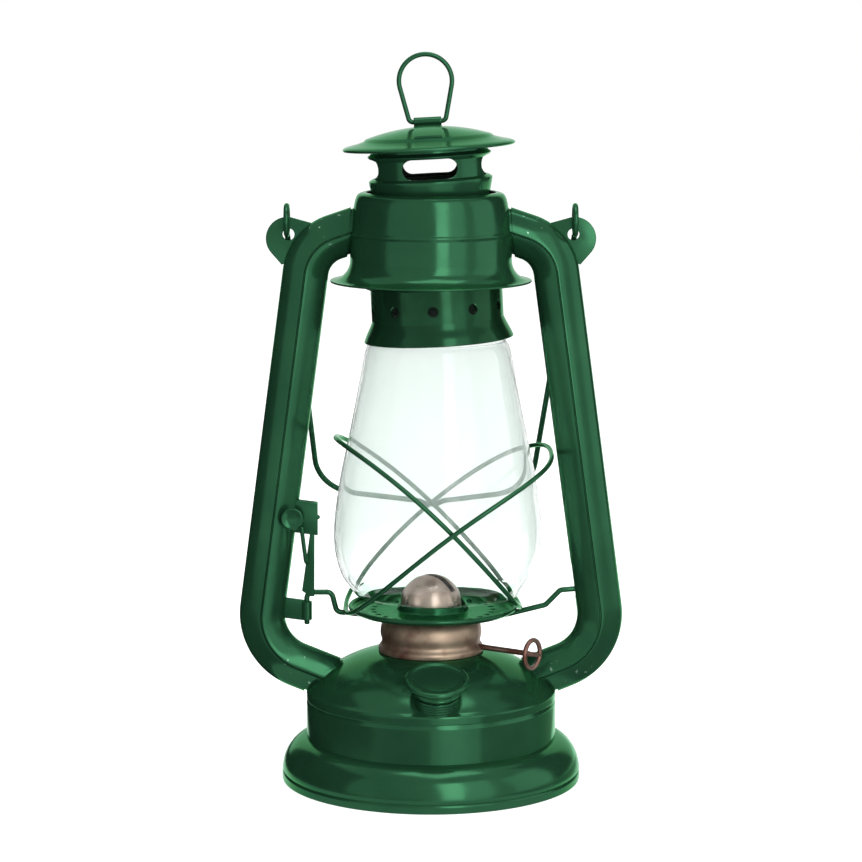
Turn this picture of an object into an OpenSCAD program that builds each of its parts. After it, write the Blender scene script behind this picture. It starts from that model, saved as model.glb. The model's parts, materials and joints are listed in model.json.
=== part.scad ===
// Kerosene lantern with a lifting glass globe, a sprung chimney, a screw filler and a wire bail.
// Millimetres. +Z is up, the origin is the middle of the foot on the table, and the front faces -Y.

/* [Tank] */
// Diameter over the hem of the foot
foot_d = 128; // [120:1:136]
// Height of the flared foot, up to the straight wall
foot_h = 18.4; // [15:0.2:22]
// Height of the folded hem at the table
hem_h = 4; // [2:0.5:6]
// Diameter of the straight wall
tank_d = 107; // [103:0.5:110]
// Height of the shoulder, where the wall turns into the dome
shoulder_z = 39; // [36:0.5:42]
// Depth of the dome's skirt, which laps over the wall
skirt_h = 4; // [3:0.5:6]
// Height of the dome's mouth, which carries the burner
mouth_z = 55.4; // [53:0.2:57]
// Diameter of the dome's mouth
mouth_d = 40; // [36:0.5:42]
// Bulge of the dome over a straight cone
dome_bulge = 3; // [1:0.25:5]
// Thickness of the painted sheet
sheet = 0.8; // [0.6:0.1:1.2]
// Height of the sheet that closes the tank's underside
bottom_z = 9; // [6:0.5:12]
// Height of the deck between the fuel and the air chamber
deck_z = 28; // [24:0.5:31]

/* [Filler] */
// Distance of the cap's middle inside the tank's wall
filler_inset = 5; // [4:0.5:6]
// Height of the middle of the cap's top
filler_z = 54.2; // [53:0.2:57]
// Lean of the filler towards the front, in degrees
filler_tilt = 19.4; // [15:0.2:24]
// Turn of the filler from the front, in degrees
filler_turn = 3; // [-10:1:10]
// Diameter of the cap's disc
cap_disc_d = 26.6; // [24:0.2:30]
// Thickness of the cap's disc
cap_disc_t = 2.2; // [1.8:0.1:3]
// Diameter of the cap's skirt at its top
cap_skirt_d = 21.4; // [20.8:0.2:23]
// Length of the cap's skirt
cap_skirt_h = 4.2; // [3.8:0.1:4.3]
// Outer diameter of the neck's threaded end
neck_d = 17.6; // [16:0.2:18.4]
// Wall of the neck
neck_wall = 1; // [0.7:0.1:1.4]
// Thickness of the cap's gasket
seal_t = 1; // [0.6:0.1:1.6]

/* [Burner] */
// Diameter of the burner's barrel
burner_d = 43.4; // [41:0.2:44.4]
// Height of the burner's barrel
burner_h = 15.6; // [14:0.2:16]
// Thickness of the brass
brass = 0.6; // [0.4:0.1:0.8]
// Diameter of the flame dome
flame_dome_d = 26; // [22:0.5:26.4]
// Height of the flame dome above the barrel
flame_dome_h = 17.4; // [15:0.2:20]
// Width of the flame slot
flame_slot_w = 3.6; // [3.4:0.1:4.5]
// Turn of the wick and its shaft towards the front, in degrees
burner_yaw = 34; // [20:1:45]
// Width of the wick
wick_w = 15.6; // [12:0.2:16]
// Thickness of the wick
wick_t = 2.6; // [2:0.1:2.8]
// Distance from the wick's middle to the axis of its shaft
shaft_offset = 7.2; // [6.6:0.1:7.8]
// Height of the wick shaft above the dome's mouth
shaft_rise = 2.6; // [2.2:0.1:4]
// Diameter of the wick shaft
shaft_d = 2.4; // [2:0.1:2.8]
// Distance from the lantern's middle to the knob, along the shaft
shaft_reach = 46.8; // [40:0.2:50]
// Diameter of the knob, to the middle of its wire
knob_d = 12; // [9:0.5:13]
// Diameter of the knob's wire
knob_wire_d = 2; // [1.6:0.1:2.4]
// Outer diameter of the socket that holds the burner
socket_d = 26; // [24:0.5:28]
// Teeth on each spur wheel
spur_teeth = 12; // [8:1:16]

/* [Side tubes] */
// Distance from the axis to the corner of the tubes' lower bend
tube_corner_x = 74.6; // [73:0.2:76]
// Height of the corner of the lower bend
tube_corner_z = 56; // [54:0.5:58]
// Height of the corner of the upper bend
tube_top_z = 229.4; // [228:0.2:231]
// Inward lean of the tubes' long run, in degrees
tube_lean = 7.6; // [7.2:0.1:8]
// Rise of the upper run towards the hood, in degrees
top_slope = 18.8; // [14:0.2:22]
// Fall of the lower run towards the tank, in degrees
low_slope = 22; // [19:0.5:25]
// Radius of the upper bend
top_bend_r = 14.5; // [13:0.5:16]
// Radius of the lower bend
low_bend_r = 24; // [21:0.5:26]
// Width of a tube, seen from the front
tube_w = 19.4; // [17:0.2:20]
// Depth of a tube from ridge to ridge
tube_depth = 16.4; // [14:0.2:17]
// Rounding of the tube's sides
tube_side_r = 4.6; // [3.5:0.1:6]
// Rounding of the ridge down the tube's front and back
tube_ridge_r = 1.4; // [1.2:0.1:3]

/* [Hood] */
// Diameter of the hood's drum
hood_d = 68.4; // [66:0.2:70]
// Height of the hood's top
hood_top_z = 252; // [250:0.2:253]
// Height of the hood's lip
hood_lip_z = 215; // [213:0.5:217]
// Radius of the cove above the lip
hood_cove_r = 8.3; // [7:0.1:9]
// Diameter of the hole in the hood's top
hood_hole_d = 54; // [53.6:0.1:55]

/* [Chimney] */
// Lean of the loose chimney towards the lever side, in degrees
chimney_lean = 3; // [0:0.2:3.2]
// Height about which the chimney leans
lean_z = 254; // [252:0.5:256]
// Diameter of the chimney
chimney_d = 48.8; // [47.6:0.2:49]
// Height of the chimney's bead above the hood's top
bead_rise = 5; // [4:0.25:7]
// Projection of the bead and of the flange under the cap
bead_out = 1.6; // [1:0.1:2]
// Height of a chimney window
window_h = 8.4; // [7:0.2:9]
// Width of a chimney window
window_w = 23; // [18:0.5:25]
// Number of chimney windows
window_n = 4; // [3:1:5]
// Diameter of the cap's brim
brim_d = 72.6; // [68:0.2:76]
// Height of the cap's brim above the hood's top
brim_rise = 19.6; // [18.6:0.2:22]
// Height of the cap above its brim
cap_h = 8; // [6:0.25:10]
// Diameter of the collar on the glass
collar_d = 55.8; // [54:0.2:57]
// Height of the collar's flange in the hood
collar_top_z = 213.5; // [211:0.5:215]
// Height of the collar's lower edge
collar_z = 190; // [190:0.2:192]
// Diameter of the collar's flared edge
collar_lip_d = 63.4; // [63:0.2:65]
// Diameter of the collar's air holes
collar_hole_d = 4.5; // [3:0.25:6]
// Number of the collar's air holes
collar_hole_n = 10; // [6:1:14]
// Turns of the chimney spring
spring_turns = 6; // [4:1:8]
// Diameter of the spring's wire
spring_wire_d = 1.6; // [1.2:0.1:1.8]

/* [Lift ring] */
// Diameter of the ring's round top, to the middle of its wire
ring_d = 22.2; // [18:0.2:24]
// Height of the ring from its pivot to its top
ring_h = 28; // [25:0.5:30]
// Narrowing of the ring's legs, in degrees
ring_taper = 12.8; // [8:0.2:14]
// Diameter of the ring's wire
ring_wire_d = 2; // [1.6:0.1:2.4]
// Width of the strap that holds the ring
strap_w = 11.6; // [9:0.2:12]

/* [Globe] */
// Largest diameter of the glass
globe_d = 88.9; // [84:0.1:90]
// Height of the glass at its largest diameter
globe_belly_z = 106; // [102:0.5:110]
// Wall of the glass
glass_wall = 1.9; // [1.5:0.1:2.5]
// Height of the glass's top edge
globe_top_z = 190; // [188.6:0.2:190.4]
// Diameter of the glass's top edge
globe_top_d = 57; // [55:0.2:57]
// Sideways play of the glass on its plate
globe_shift = 3; // [0:0.2:3]
// Diameter of the plate under the glass
plate_d = 72.4; // [71:0.2:75]
// Height of the plate's rim
plate_z = 75.6; // [75:0.1:76.5]
// Sideways play of the plate on the burner
plate_shift = 0.8; // [0:0.1:0.8]
// Number of holes in the plate
plate_hole_n = 28; // [16:2:40]

/* [Guard and lift] */
// Diameter of the guard's wire
guard_wire_d = 2; // [1.6:0.1:2.2]
// Half width of the inner guard hoop, front to back
guard_half = 47.6; // [47.2:0.1:48.2]
// Reach of the hoop that is high on the lever side
left_guard_reach = 40.4; // [40:0.2:44]
// Height of that hoop's high end
left_guard_z = 148; // [142:0.5:154]
// Reach of the other hoop
right_guard_reach = 51.6; // [44:0.2:53]
// Height of the other hoop's high end
right_guard_z = 141; // [136:0.5:148]
// Bow of the hoops over the belly of the glass
guard_bow = 7; // [5:0.25:9]
// Diameter of the lift arms' wire
arm_wire_d = 2.3; // [2:0.1:2.6]
// Height of the lever-side arm where it hooks the lever
left_arm_z = 80.7; // [80:0.1:82]
// Height of the other arm where it enters its tube
right_arm_z = 82.5; // [81:0.1:84]
// Upward travel of the globe
globe_travel = 8; // [6:0.5:9]
// Distance from the axis to the middle of the lever strip
lever_x = 52.4; // [51.6:0.1:53.2]
// Width of the lever strip
lever_w = 5.6; // [4.6:0.1:6]
// Thickness of the lever strip
lever_t = 1.2; // [1:0.1:1.5]
// Height of the lever strip's top
lever_top_z = 119; // [117:0.5:121]
// Diameter of the lever's thumb disc
thumb_d = 8.6; // [7:0.2:10]
// Height of the thumb disc
thumb_z = 114.2; // [112:0.2:116]

/* [Bail] */
// Diameter of the bail's wire
bail_wire_d = 2.4; // [2:0.1:2.8]
// Radius of the bail's eyes, to the middle of the wire
eye_r = 6; // [5.6:0.1:6.6]
// Distance from the axis to the middle of an ear's hole
ear_hole_x = 60; // [59.6:0.1:60.6]
// Height of an ear's hole
ear_hole_z = 234.2; // [233:0.2:235]
// Diameter of an ear's hole
ear_hole_d = 5; // [4.6:0.1:5.6]
// Rounding of an ear's tip
ear_r = 9.2; // [8:0.1:10]
// Thickness of an ear
ear_t = 1.2; // [0.8:0.1:1.4]
// Distance from the bail's pivot to its grip
bail_l = 141; // [139:0.5:150]
// Lean of the hanging bail to the back, in degrees
bail_hang = 22.4; // [22.2:0.1:30]
// Splay of the bail's leg on the lever side, in degrees
left_splay = 4.9; // [3:0.1:9]
// Splay of the other leg, in degrees
right_splay = 7.4; // [3:0.1:9]

/* [Fits] */
// Gap between pieces that are soldered or crimped together
seam_gap = 0.05; // [0.02:0.01:0.1]
// Radial play of a pin in its hole
pin_play = 0.06; // [0.02:0.01:0.1]
// Gap between pieces that move past each other
run_gap = 0.35; // [0.3:0.05:0.5]

/* [Hidden] */
$fn = 72;
enamel = "#1f6a45";
bronze = "#a48b7a";
cotton = "#e8e0cd";
rubber = "#222222";
clear = [0.9, 0.96, 0.94, 0.35];

// Outline functions: points run up a wall or inwards over a top, so the metal lies on their left
function unit(v) = v / norm(v);
function left_of(v) = [-v[1], v[0]];
function corner_normal(p, i) =
    let (m = len(p) - 1,
        a = unit(p[max(i, 1)] - p[max(i, 1) - 1]),
        b = unit(p[min(i, m - 1) + 1] - p[min(i, m - 1)]),
        n = unit(left_of(a + b)))
    n / max(0.4, n * left_of(a));
function set_off(p, t) =
    [for (i = [0:len(p) - 1]) let (q = p[i] + t * corner_normal(p, i)) [max(0, q[0]), q[1]]];
function backwards(p) = [for (i = [len(p) - 1:-1:0]) p[i]];
function sheet_outline(p, t) = concat(p, backwards(set_off(p, t)));
function ellipse_arc(c, rx, rz, from, to, n) =
    [for (i = [0:n]) let (a = from + (to - from) * i / n) [c[0] + rx * cos(a), c[1] + rz * sin(a)]];
function bowed(p, q, bow, n) =
    [for (i = [0:n]) let (t = i / n) p + (q - p) * t - left_of(unit(q - p)) * bow * 4 * t * (1 - t)];
function smooth(p, n) =
    let (m = len(p) - 1)
    concat([for (i = [0:m - 1], k = [0:n - 1])
        let (t = k / n, a = p[max(i - 1, 0)], b = p[i], c = p[i + 1], d = p[min(i + 2, m)])
        0.5 * (2 * b + (c - a) * t + (2 * a - 5 * b + 4 * c - d) * t * t
            + (3 * b - a - 3 * c + d) * t * t * t)],
        [p[m]]);

// A sheet spun to a round shell, and the solid inside its outer face
module spun(path, t) {
    rotate_extrude() polygon(sheet_outline(path, t));
}
module spun_solid(path, grow) {
    outer = set_off(path, -grow);
    rotate_extrude() polygon(concat([[0, outer[0][1]]], outer, [[0, outer[len(outer) - 1][1]]]));
}

// A wire in the XY plane: each step is a straight length, then a bend of a radius and an angle.
// Straights are a hair thinner than bends and reach into them, so that the pieces weld into one
weld_lap = 0.2;
weld_trim = 0.02;
module wire(r, steps, i = 0) {
    if (i < len(steps)) {
        run = steps[i][0];
        bend_r = steps[i][1];
        turn = steps[i][2];
        back = i > 0 ? weld_lap : 0;
        ahead = turn != 0 ? weld_lap : 0;
        if (run > 0)
            translate([-back, 0, 0]) rotate([0, 90, 0]) cylinder(r = r - weld_trim, h = back + run + ahead);
        translate([run, 0, 0]) {
            if (turn > 0)
                wire_bend(r, bend_r, turn);
            if (turn < 0)
                mirror([0, 1, 0]) wire_bend(r, bend_r, -turn);
            translate([0, sign(turn) * bend_r, 0]) rotate(turn)
                translate([0, -sign(turn) * bend_r, 0]) wire(r, steps, i + 1);
        }
    }
}
module wire_bend(r, bend_r, turn) {
    translate([0, bend_r, 0]) rotate(-90) rotate_extrude(angle = turn) translate([bend_r, 0]) circle(r);
}

// A wire swept along points, closed to a loop or with flat ends, with its sides turned from a given direction
module swept_wire(p, up, r, sides, closed) {
    n = len(p);
    last = closed ? n : n - 1;
    along = [for (i = [0:n - 1])
        unit(p[closed ? (i + 1) % n : min(i + 1, n - 1)] - p[closed ? (i + n - 1) % n : max(i - 1, 0)])];
    side = [for (i = [0:n - 1]) unit(cross(along[i], up[i]))];
    lift = [for (i = [0:n - 1]) cross(side[i], along[i])];
    points = [for (i = [0:n - 1], k = [0:sides - 1])
        p[i] + r * (cos(360 * k / sides) * side[i] + sin(360 * k / sides) * lift[i])];
    function at(i, k) = (i % n) * sides + k % sides;
    walls = [for (i = [0:last - 1], k = [0:sides - 1], half = [0, 1])
        half == 0 ? [at(i, k), at(i, k + 1), at(i + 1, k + 1)] : [at(i, k), at(i + 1, k + 1), at(i + 1, k)]];
    ends = closed ? [] : concat(
        [for (k = [1:sides - 2]) [at(0, 0), at(0, k + 1), at(0, k)]],
        [for (k = [1:sides - 2]) [at(n - 1, 0), at(n - 1, k), at(n - 1, k + 1)]]);
    polyhedron(points, concat(walls, ends));
}

// Tank
foot_r = foot_d / 2;
tank_r = tank_d / 2;
mouth_r = mouth_d / 2;
filler_reach = tank_r - filler_inset;
skirt_z = shoulder_z - skirt_h;
foot_tuck = 1.5;
foot_out = foot_r - tank_r + foot_tuck;
hem_t = 2;
burner_r = burner_d / 2;
barrel_flare = 0.8;
land_w = 0.6;
flare_r = burner_r + barrel_flare;
land_r = flare_r + land_w;
lap_r = tank_r - sheet - seam_gap;
base_path = concat([[foot_r, 0]],
    ellipse_arc([tank_r - foot_tuck, hem_h], foot_out, foot_h - hem_h, 0, acos(foot_tuck / foot_out), 10),
    [[tank_r, skirt_z - 2 * sheet], [lap_r, skirt_z], [lap_r, shoulder_z - 2 * sheet]]);
dome_path = concat([[tank_r, skirt_z + seam_gap], [tank_r, shoulder_z - sheet]],
    bowed([tank_r - sheet, shoulder_z], [land_r, mouth_z], dome_bulge, 14), [[mouth_r, mouth_z]]);
foot_in_r = tank_r - foot_tuck
    + (foot_out - sheet) * sqrt(1 - pow((bottom_z - hem_h) / (foot_h - hem_h - sheet), 2)) - 4 * seam_gap;

module tank_base() {
    color(enamel) {
        spun(base_path, sheet);
        rotate_extrude() translate([foot_r - hem_t, 0]) square([hem_t, hem_h]);
    }
}
module tank_dome() {
    color(enamel) difference() {
        spun(dome_path, sheet);
        at_filler() translate([0, 0, -neck_l]) cylinder(r = pipe_r + seam_gap, h = neck_l);
        for (side = [0, 1]) mirror([side, 0, 0]) tube_low_run(sheet, 0);
    }
}
module tank_bottom() {
    edge_w = 3 * sheet;
    color(enamel) spun([[foot_in_r, bottom_z - sheet], [foot_in_r - edge_w, bottom_z], [0, bottom_z]], sheet);
}
module fuel_deck() {
    rim_h = 4 * sheet;
    edge_r = tank_r - sheet - seam_gap;
    color(enamel) difference() {
        spun([[edge_r, deck_z - rim_h], [edge_r, deck_z], [socket_r + seam_gap, deck_z]], sheet);
        at_filler() translate([0, 0, -neck_l]) cylinder(r = pipe_r + seam_gap, h = neck_l);
    }
}

// Filler, drawn about its own axis with the middle of the cap's top at zero
neck_r = neck_d / 2;
pipe_r = neck_r;
neck_bore_r = neck_r - neck_wall;
cap_disc_r = cap_disc_d / 2;
cap_skirt_r = cap_skirt_d / 2;
cap_low = -cap_disc_t - cap_skirt_h;
flat_gap = 2 * seam_gap;
neck_top = -cap_disc_t - seal_t - 2 * flat_gap;
collar_inset = 0.7;
neck_dip = 5;
collar_r = cap_skirt_r - collar_inset;
neck_collar_l = (filler_z - shoulder_z - run_gap - collar_r * sin(filler_tilt)) / cos(filler_tilt);
neck_l = (filler_z - deck_z + neck_dip) / cos(filler_tilt);
module at_filler() {
    rotate(filler_turn) translate([0, -filler_reach, filler_z]) rotate([filler_tilt, 0, 0]) children();
}
module filler_neck() {
    color(enamel) at_filler() difference() {
        union() {
            translate([0, 0, -neck_l]) cylinder(r = pipe_r, h = neck_l + neck_top);
            neck_collar();
        }
        translate([0, 0, -neck_l - 1]) cylinder(r = neck_bore_r, h = neck_l + 2);
    }
}
module neck_collar() {
    difference() {
        translate([0, 0, -neck_collar_l]) cylinder(r = collar_r, h = neck_collar_l + cap_low - run_gap);
        rotate([-filler_tilt, 0, 0]) translate([0, filler_reach, -filler_z]) rotate(-filler_turn)
            spun_solid(dome_path, seam_gap);
    }
}
module filler_seal() {
    color(rubber) at_filler() translate([0, 0, neck_top + flat_gap]) difference() {
        cylinder(r = neck_r - seam_gap, h = seal_t);
        translate([0, 0, -1]) cylinder(r = neck_bore_r, h = seal_t + 2);
    }
}
module filler_cap() {
    dish = 0.9;
    rim_w = 1.4;
    skirt_in = neck_r + run_gap;
    taper = 0.4;
    color(enamel) at_filler() rotate_extrude() polygon([[0, -dish], [cap_disc_r - 2 * rim_w, -dish],
        [cap_disc_r - rim_w, 0], [cap_disc_r - dish / 2, 0], [cap_disc_r, -dish / 2],
        [cap_disc_r, -cap_disc_t + dish / 2], [cap_disc_r - dish / 2, -cap_disc_t],
        [cap_skirt_r, -cap_disc_t], [cap_skirt_r - taper, cap_low],
        [skirt_in, cap_low], [skirt_in, -cap_disc_t], [0, -cap_disc_t]]);
}

// Burner
base_z = mouth_z + seam_gap;
burner_top_z = base_z + burner_h;
flame_r = flame_dome_d / 2;
socket_r = socket_d / 2;
throat_r = socket_r - brass - pin_play;
wick_gap = run_gap;
tube_in = [wick_w + 2 * wick_gap, wick_t + 2 * wick_gap];
tube_out = tube_in + [2 * brass, 2 * brass];
shaft_r = shaft_d / 2;
shaft_z = mouth_z + shaft_rise;
spur_tip_r = shaft_offset - wick_t / 2 - run_gap;
spur_w = 2.4;
spur_at = wick_w / 4;
wick_drop = 5;
wick_lift = 8;
wick_show = 3;
socket_rise = 14;
socket_drop = 4;
socket_flange = 2;
throat_rise = 6;
flame_wall_h = 5;
flame_slot_rise = 8.6;
flame_slot_end = 1.5;
screen_hole_d = 2.4;
screen_hole_in = 3;
knob_turn = 25;
wick_top_z = burner_top_z + flame_dome_h - wick_drop;
wick_low_z = bottom_z + wick_lift;
socket_top_z = deck_z + socket_rise;
throat_low_z = deck_z + throat_rise;
screen_z = shaft_z - spur_tip_r - run_gap - 2 * brass;
barrel_path = concat(smooth([[flare_r, base_z], [flare_r - 0.1, base_z + 2], [burner_r - 0.6, base_z + 4.4],
    [burner_r, base_z + 8], [burner_r - 0.5, base_z + burner_h - 4], [burner_r - 2, base_z + burner_h - 1.4],
    [burner_r - 4.5, burner_top_z]], 4), [[flame_r + seam_gap, burner_top_z]]);
flame_wall_z = burner_top_z + flame_wall_h;
flame_path = concat([[flame_r, burner_top_z - brass], [flame_r, flame_wall_z]],
    ellipse_arc([0, flame_wall_z], flame_r, flame_dome_h - flame_wall_h, 6, 90, 14));
module at_burner() {
    rotate(-burner_yaw) children();
}
module at_shaft() {
    at_burner() translate([0, shaft_offset, shaft_z]) rotate([0, 90, 0]) children();
}
module flat_rod(size, from, to) {
    translate([-size[0] / 2, -size[1] / 2, from]) cube([size[0], size[1], to - from]);
}
module burner_base() {
    color(bronze) difference() {
        spun(barrel_path, brass);
        at_shaft() cylinder(r = shaft_r + pin_play, h = shaft_reach);
    }
}
module burner_dome() {
    color(bronze) difference() {
        spun(flame_path, brass);
        at_burner() flat_rod([2 * (flame_r - flame_slot_end), flame_slot_w], burner_top_z + flame_slot_rise,
            burner_top_z + flame_dome_h + flame_wall_h);
    }
}
module burner_socket() {
    color(bronze) difference() {
        union() {
            translate([0, 0, deck_z + seam_gap]) cylinder(r = socket_r + socket_flange, h = brass);
            translate([0, 0, deck_z - socket_drop]) cylinder(r = socket_r, h = socket_rise + socket_drop);
        }
        translate([0, 0, deck_z - 2 * socket_drop])
            cylinder(r = socket_r - brass, h = socket_rise + 3 * socket_drop);
    }
}
module burner_throat() {
    flange_z = screen_z - brass - seam_gap;
    color(bronze) difference() {
        union() {
            translate([0, 0, throat_low_z]) cylinder(r = throat_r, h = flange_z - throat_low_z + brass);
            translate([0, 0, socket_top_z + seam_gap]) cylinder(r = socket_r, h = brass);
        }
        at_burner() flat_rod(tube_out + [2 * seam_gap, 2 * seam_gap], throat_low_z - 1, flange_z + 2 * brass);
        translate([0, 0, throat_low_z + brass]) throat_hollow(flange_z - throat_low_z + brass);
    }
}
module throat_hollow(h) {
    difference() {
        cylinder(r = throat_r - brass, h = h);
        at_burner() flat_rod(tube_out + [4 * brass, 4 * brass], -1, h + 1);
    }
}
module burner_screen() {
    hole_n = 24;
    color(bronze) difference() {
        translate([0, 0, screen_z]) cylinder(r = mouth_r - seam_gap, h = brass);
        at_burner() flat_rod(tube_out + [2 * seam_gap, 2 * seam_gap], screen_z - 1, screen_z + 2);
        for (i = [0:hole_n - 1]) rotate(360 * i / hole_n)
            translate([mouth_r - screen_hole_in, 0, screen_z - brass])
                cylinder(d = screen_hole_d, h = 3 * brass);
    }
}
module wick_tube() {
    low_z = throat_low_z - 4 * brass;
    color(bronze) at_burner() difference() {
        flat_rod(tube_out, low_z, wick_top_z - wick_show);
        flat_rod(tube_in, low_z - 1, wick_top_z);
        for (side = [-1, 1]) translate([side * spur_at, shaft_offset, shaft_z]) rotate([0, 90, 0])
            cylinder(r = spur_tip_r + run_gap, h = spur_w + 2 * run_gap, center = true);
    }
}
module wick() {
    color(cotton) at_burner() flat_rod([wick_w, wick_t], wick_low_z, wick_top_z);
}
module wick_shaft() {
    tail = wick_w / 2 + 1;
    color(bronze) at_shaft() translate([0, 0, -tail])
        cylinder(r = shaft_r, h = tail + shaft_reach - knob_wire_d / 2 - seam_gap);
}
module spur_wheels() {
    root_r = spur_tip_r - 1;
    color(bronze) at_shaft() for (side = [-1, 1]) translate([0, 0, side * spur_at - spur_w / 2])
        difference() {
            linear_extrude(spur_w) polygon([for (i = [0:2 * spur_teeth - 1])
                let (r = i % 2 == 0 ? spur_tip_r : root_r, a = 180 * i / spur_teeth)
                [r * cos(a), r * sin(a)]]);
            translate([0, 0, -1]) cylinder(r = shaft_r + seam_gap, h = spur_w + 2);
        }
}
module wick_knob() {
    color(bronze) at_shaft() translate([0, 0, shaft_reach]) {
        rotate_extrude() translate([knob_d / 2, 0]) circle(d = knob_wire_d);
        rotate([0, 90, knob_turn]) cylinder(d = knob_wire_d, h = knob_d, center = true);
    }
}

// Side tubes: an upper run to the hood, a bend, a long leaning run, a bend and a lower run to the tank
hood_r = hood_d / 2;
corner_low = [tube_corner_x, tube_corner_z];
corner_top = [tube_corner_x - (tube_top_z - tube_corner_z) * tan(tube_lean), tube_top_z];
long_out = [cos(tube_lean), sin(tube_lean)];
top_out = [sin(top_slope), cos(top_slope)];
low_out = [sin(low_slope), -cos(low_slope)];
function bend_middle(corner, a, b, r) = corner - r * (a + b) / (1 + a * b);
top_mid = bend_middle(corner_top, long_out, top_out, top_bend_r);
low_mid = bend_middle(corner_low, long_out, low_out, low_bend_r);
long_l = norm(top_mid + top_bend_r * long_out - low_mid - low_bend_r * long_out);
run_in = 28;
function tube_edge_x(z) = corner_low[0] - (z - corner_low[1]) * tan(tube_lean) - tube_w / 2 / cos(tube_lean);
function tube_section(inset) =
    let (a = tube_w / 2 - tube_side_r,
        b = tube_depth / 2 - tube_ridge_r,
        slant = atan2(b, -a) - acos((tube_side_r - tube_ridge_r) / norm([a, b])),
        side_r = tube_side_r - inset,
        ridge_r = tube_ridge_r - inset)
    concat(ellipse_arc([a, 0], side_r, side_r, -slant, slant, 8),
        ellipse_arc([0, b], ridge_r, ridge_r, slant, 180 - slant, 4),
        ellipse_arc([-a, 0], side_r, side_r, 180 - slant, 180 + slant, 8),
        ellipse_arc([0, -b], ridge_r, ridge_r, 180 + slant, 360 - slant, 4));
module tube_profile(inset, wall) {
    difference() {
        polygon(tube_section(inset));
        if (wall > 0)
            polygon(tube_section(inset + wall));
    }
}
module tube_straight(from, tilt, length, inset, wall) {
    trim = wall > 0 ? weld_trim : 0;
    translate([from[0], 0, from[1]]) rotate([0, tilt, 0]) translate([0, 0, -weld_lap])
        linear_extrude(length + 2 * weld_lap) tube_profile(inset + trim, wall - 2 * trim);
}
module tube_bend(mid, r, from, to, inset, wall) {
    translate([mid[0], 0, mid[1]]) rotate([90, 0, 0]) rotate(from)
        rotate_extrude(angle = to - from) translate([r, 0]) tube_profile(inset, wall);
}
module tube_long_run(inset, wall) {
    tube_straight(low_mid + low_bend_r * long_out, -tube_lean, long_l, inset, wall);
}
module tube_low_bend(inset, wall) {
    tube_bend(low_mid, low_bend_r, low_slope - 90, tube_lean, inset, wall);
}
module tube_top_run(inset, wall) {
    tube_straight(top_mid + top_bend_r * top_out, top_slope - 90, run_in, inset, wall);
}
module tube_low_run(inset, wall) {
    tube_straight(low_mid + low_bend_r * low_out, -90 - low_slope, run_in, inset, wall);
}
module tube_run() {
    difference() {
        union() {
            tube_top_run(0, sheet);
            tube_bend(top_mid, top_bend_r, tube_lean, 90 - top_slope, 0, sheet);
            tube_long_run(0, sheet);
            tube_low_bend(0, sheet);
            tube_low_run(0, sheet);
        }
        spun_solid(hood_path, seam_gap);
        spun_solid(base_path, seam_gap);
        spun_solid(dome_path, seam_gap);
    }
}
module left_tube() {
    color(enamel) mirror([1, 0, 0]) tube_run();
}
module right_tube() {
    slot_w = arm_wire_d + 2 * run_gap;
    color(enamel) difference() {
        tube_run();
        translate([tube_edge_x(right_arm_z) - tube_w / 4, -slot_w / 2, right_arm_z - slot_w])
            cube([tube_w / 2, slot_w, 1.5 * slot_w + globe_travel]);
    }
}

// Ears for the bail, flat against the tubes' outer shoulders
ear_hole_off = [0.4, -1.8];
ear_root = [[-10.5, 6.5], [-10.5, -6], [2.6, -11]];
ear_edge_turn = -42;
ear_mid = [ear_hole_x, ear_hole_z] + ear_hole_off;
module ear() {
    rotate([90, 0, 0]) translate([0, 0, -ear_t / 2]) linear_extrude(ear_t) difference() {
        union() {
            translate(ear_mid) circle(ear_r);
            translate(ear_mid) polygon(concat([[0, ear_r]], ear_root,
                [ear_r * [cos(ear_edge_turn), sin(ear_edge_turn)]]));
        }
        translate([ear_hole_x, ear_hole_z]) circle(d = ear_hole_d);
        translate(top_mid) circle(top_bend_r + tube_w / 2 + seam_gap);
        ear_tube_cut();
    }
}
module ear_tube_cut() {
    half = tube_w / 2 + seam_gap;
    translate(top_mid + top_bend_r * long_out) rotate(tube_lean) translate([-half, -3 * ear_r])
        square([2 * half, 3 * ear_r]);
    translate(top_mid + top_bend_r * top_out) rotate(-top_slope) translate([-run_in, -half])
        square([run_in, 2 * half]);
}
module left_bail_ear() {
    color(enamel) mirror([1, 0, 0]) ear();
}
module right_bail_ear() {
    color(enamel) ear();
}

// Step of a bend from one heading to another, and the two straight lengths that fill what bends leave
function turned(r, from, to) = r * [sin(to) - sin(from), cos(from) - cos(to)];
function two_runs(rest, a, b) =
    [rest[0] * sin(b) - rest[1] * cos(b), rest[1] * cos(a) - rest[0] * sin(a)] / sin(b - a);

// Bail: an eye in each ear, two legs that splay, and a grip with a dip in its middle
eye_off = 0.7;
eye_x = ear_hole_x + eye_off;
pivot_z = ear_hole_z + eye_r;
dip_r = 6;
dip_turn = 32;
grip_rise = 8;
corner_r = 19;
mid_run = 3 * weld_lap;
dip_run = 2 * weld_lap;
function bail_half(splay) =
    let (up = 90 - splay,
        bends = turned(dip_r, 0, dip_turn) + turned(-dip_r, dip_turn, grip_rise)
            + turned(corner_r, grip_rise, up),
        straights = [weld_lap + mid_run, 0] + dip_run * [cos(dip_turn), sin(dip_turn)],
        runs = two_runs([eye_x, bail_l - eye_r] - bends - straights, grip_rise, up))
    [[mid_run, dip_r, dip_turn], [dip_run, dip_r, grip_rise - dip_turn],
        [runs[0], corner_r, up - grip_rise], [runs[1], 1, 0]];
module bail_leg(splay) {
    translate([weld_lap, 0, 0]) rotate([90, 0, 0]) wire(bail_wire_d / 2, bail_half(splay));
}
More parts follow.
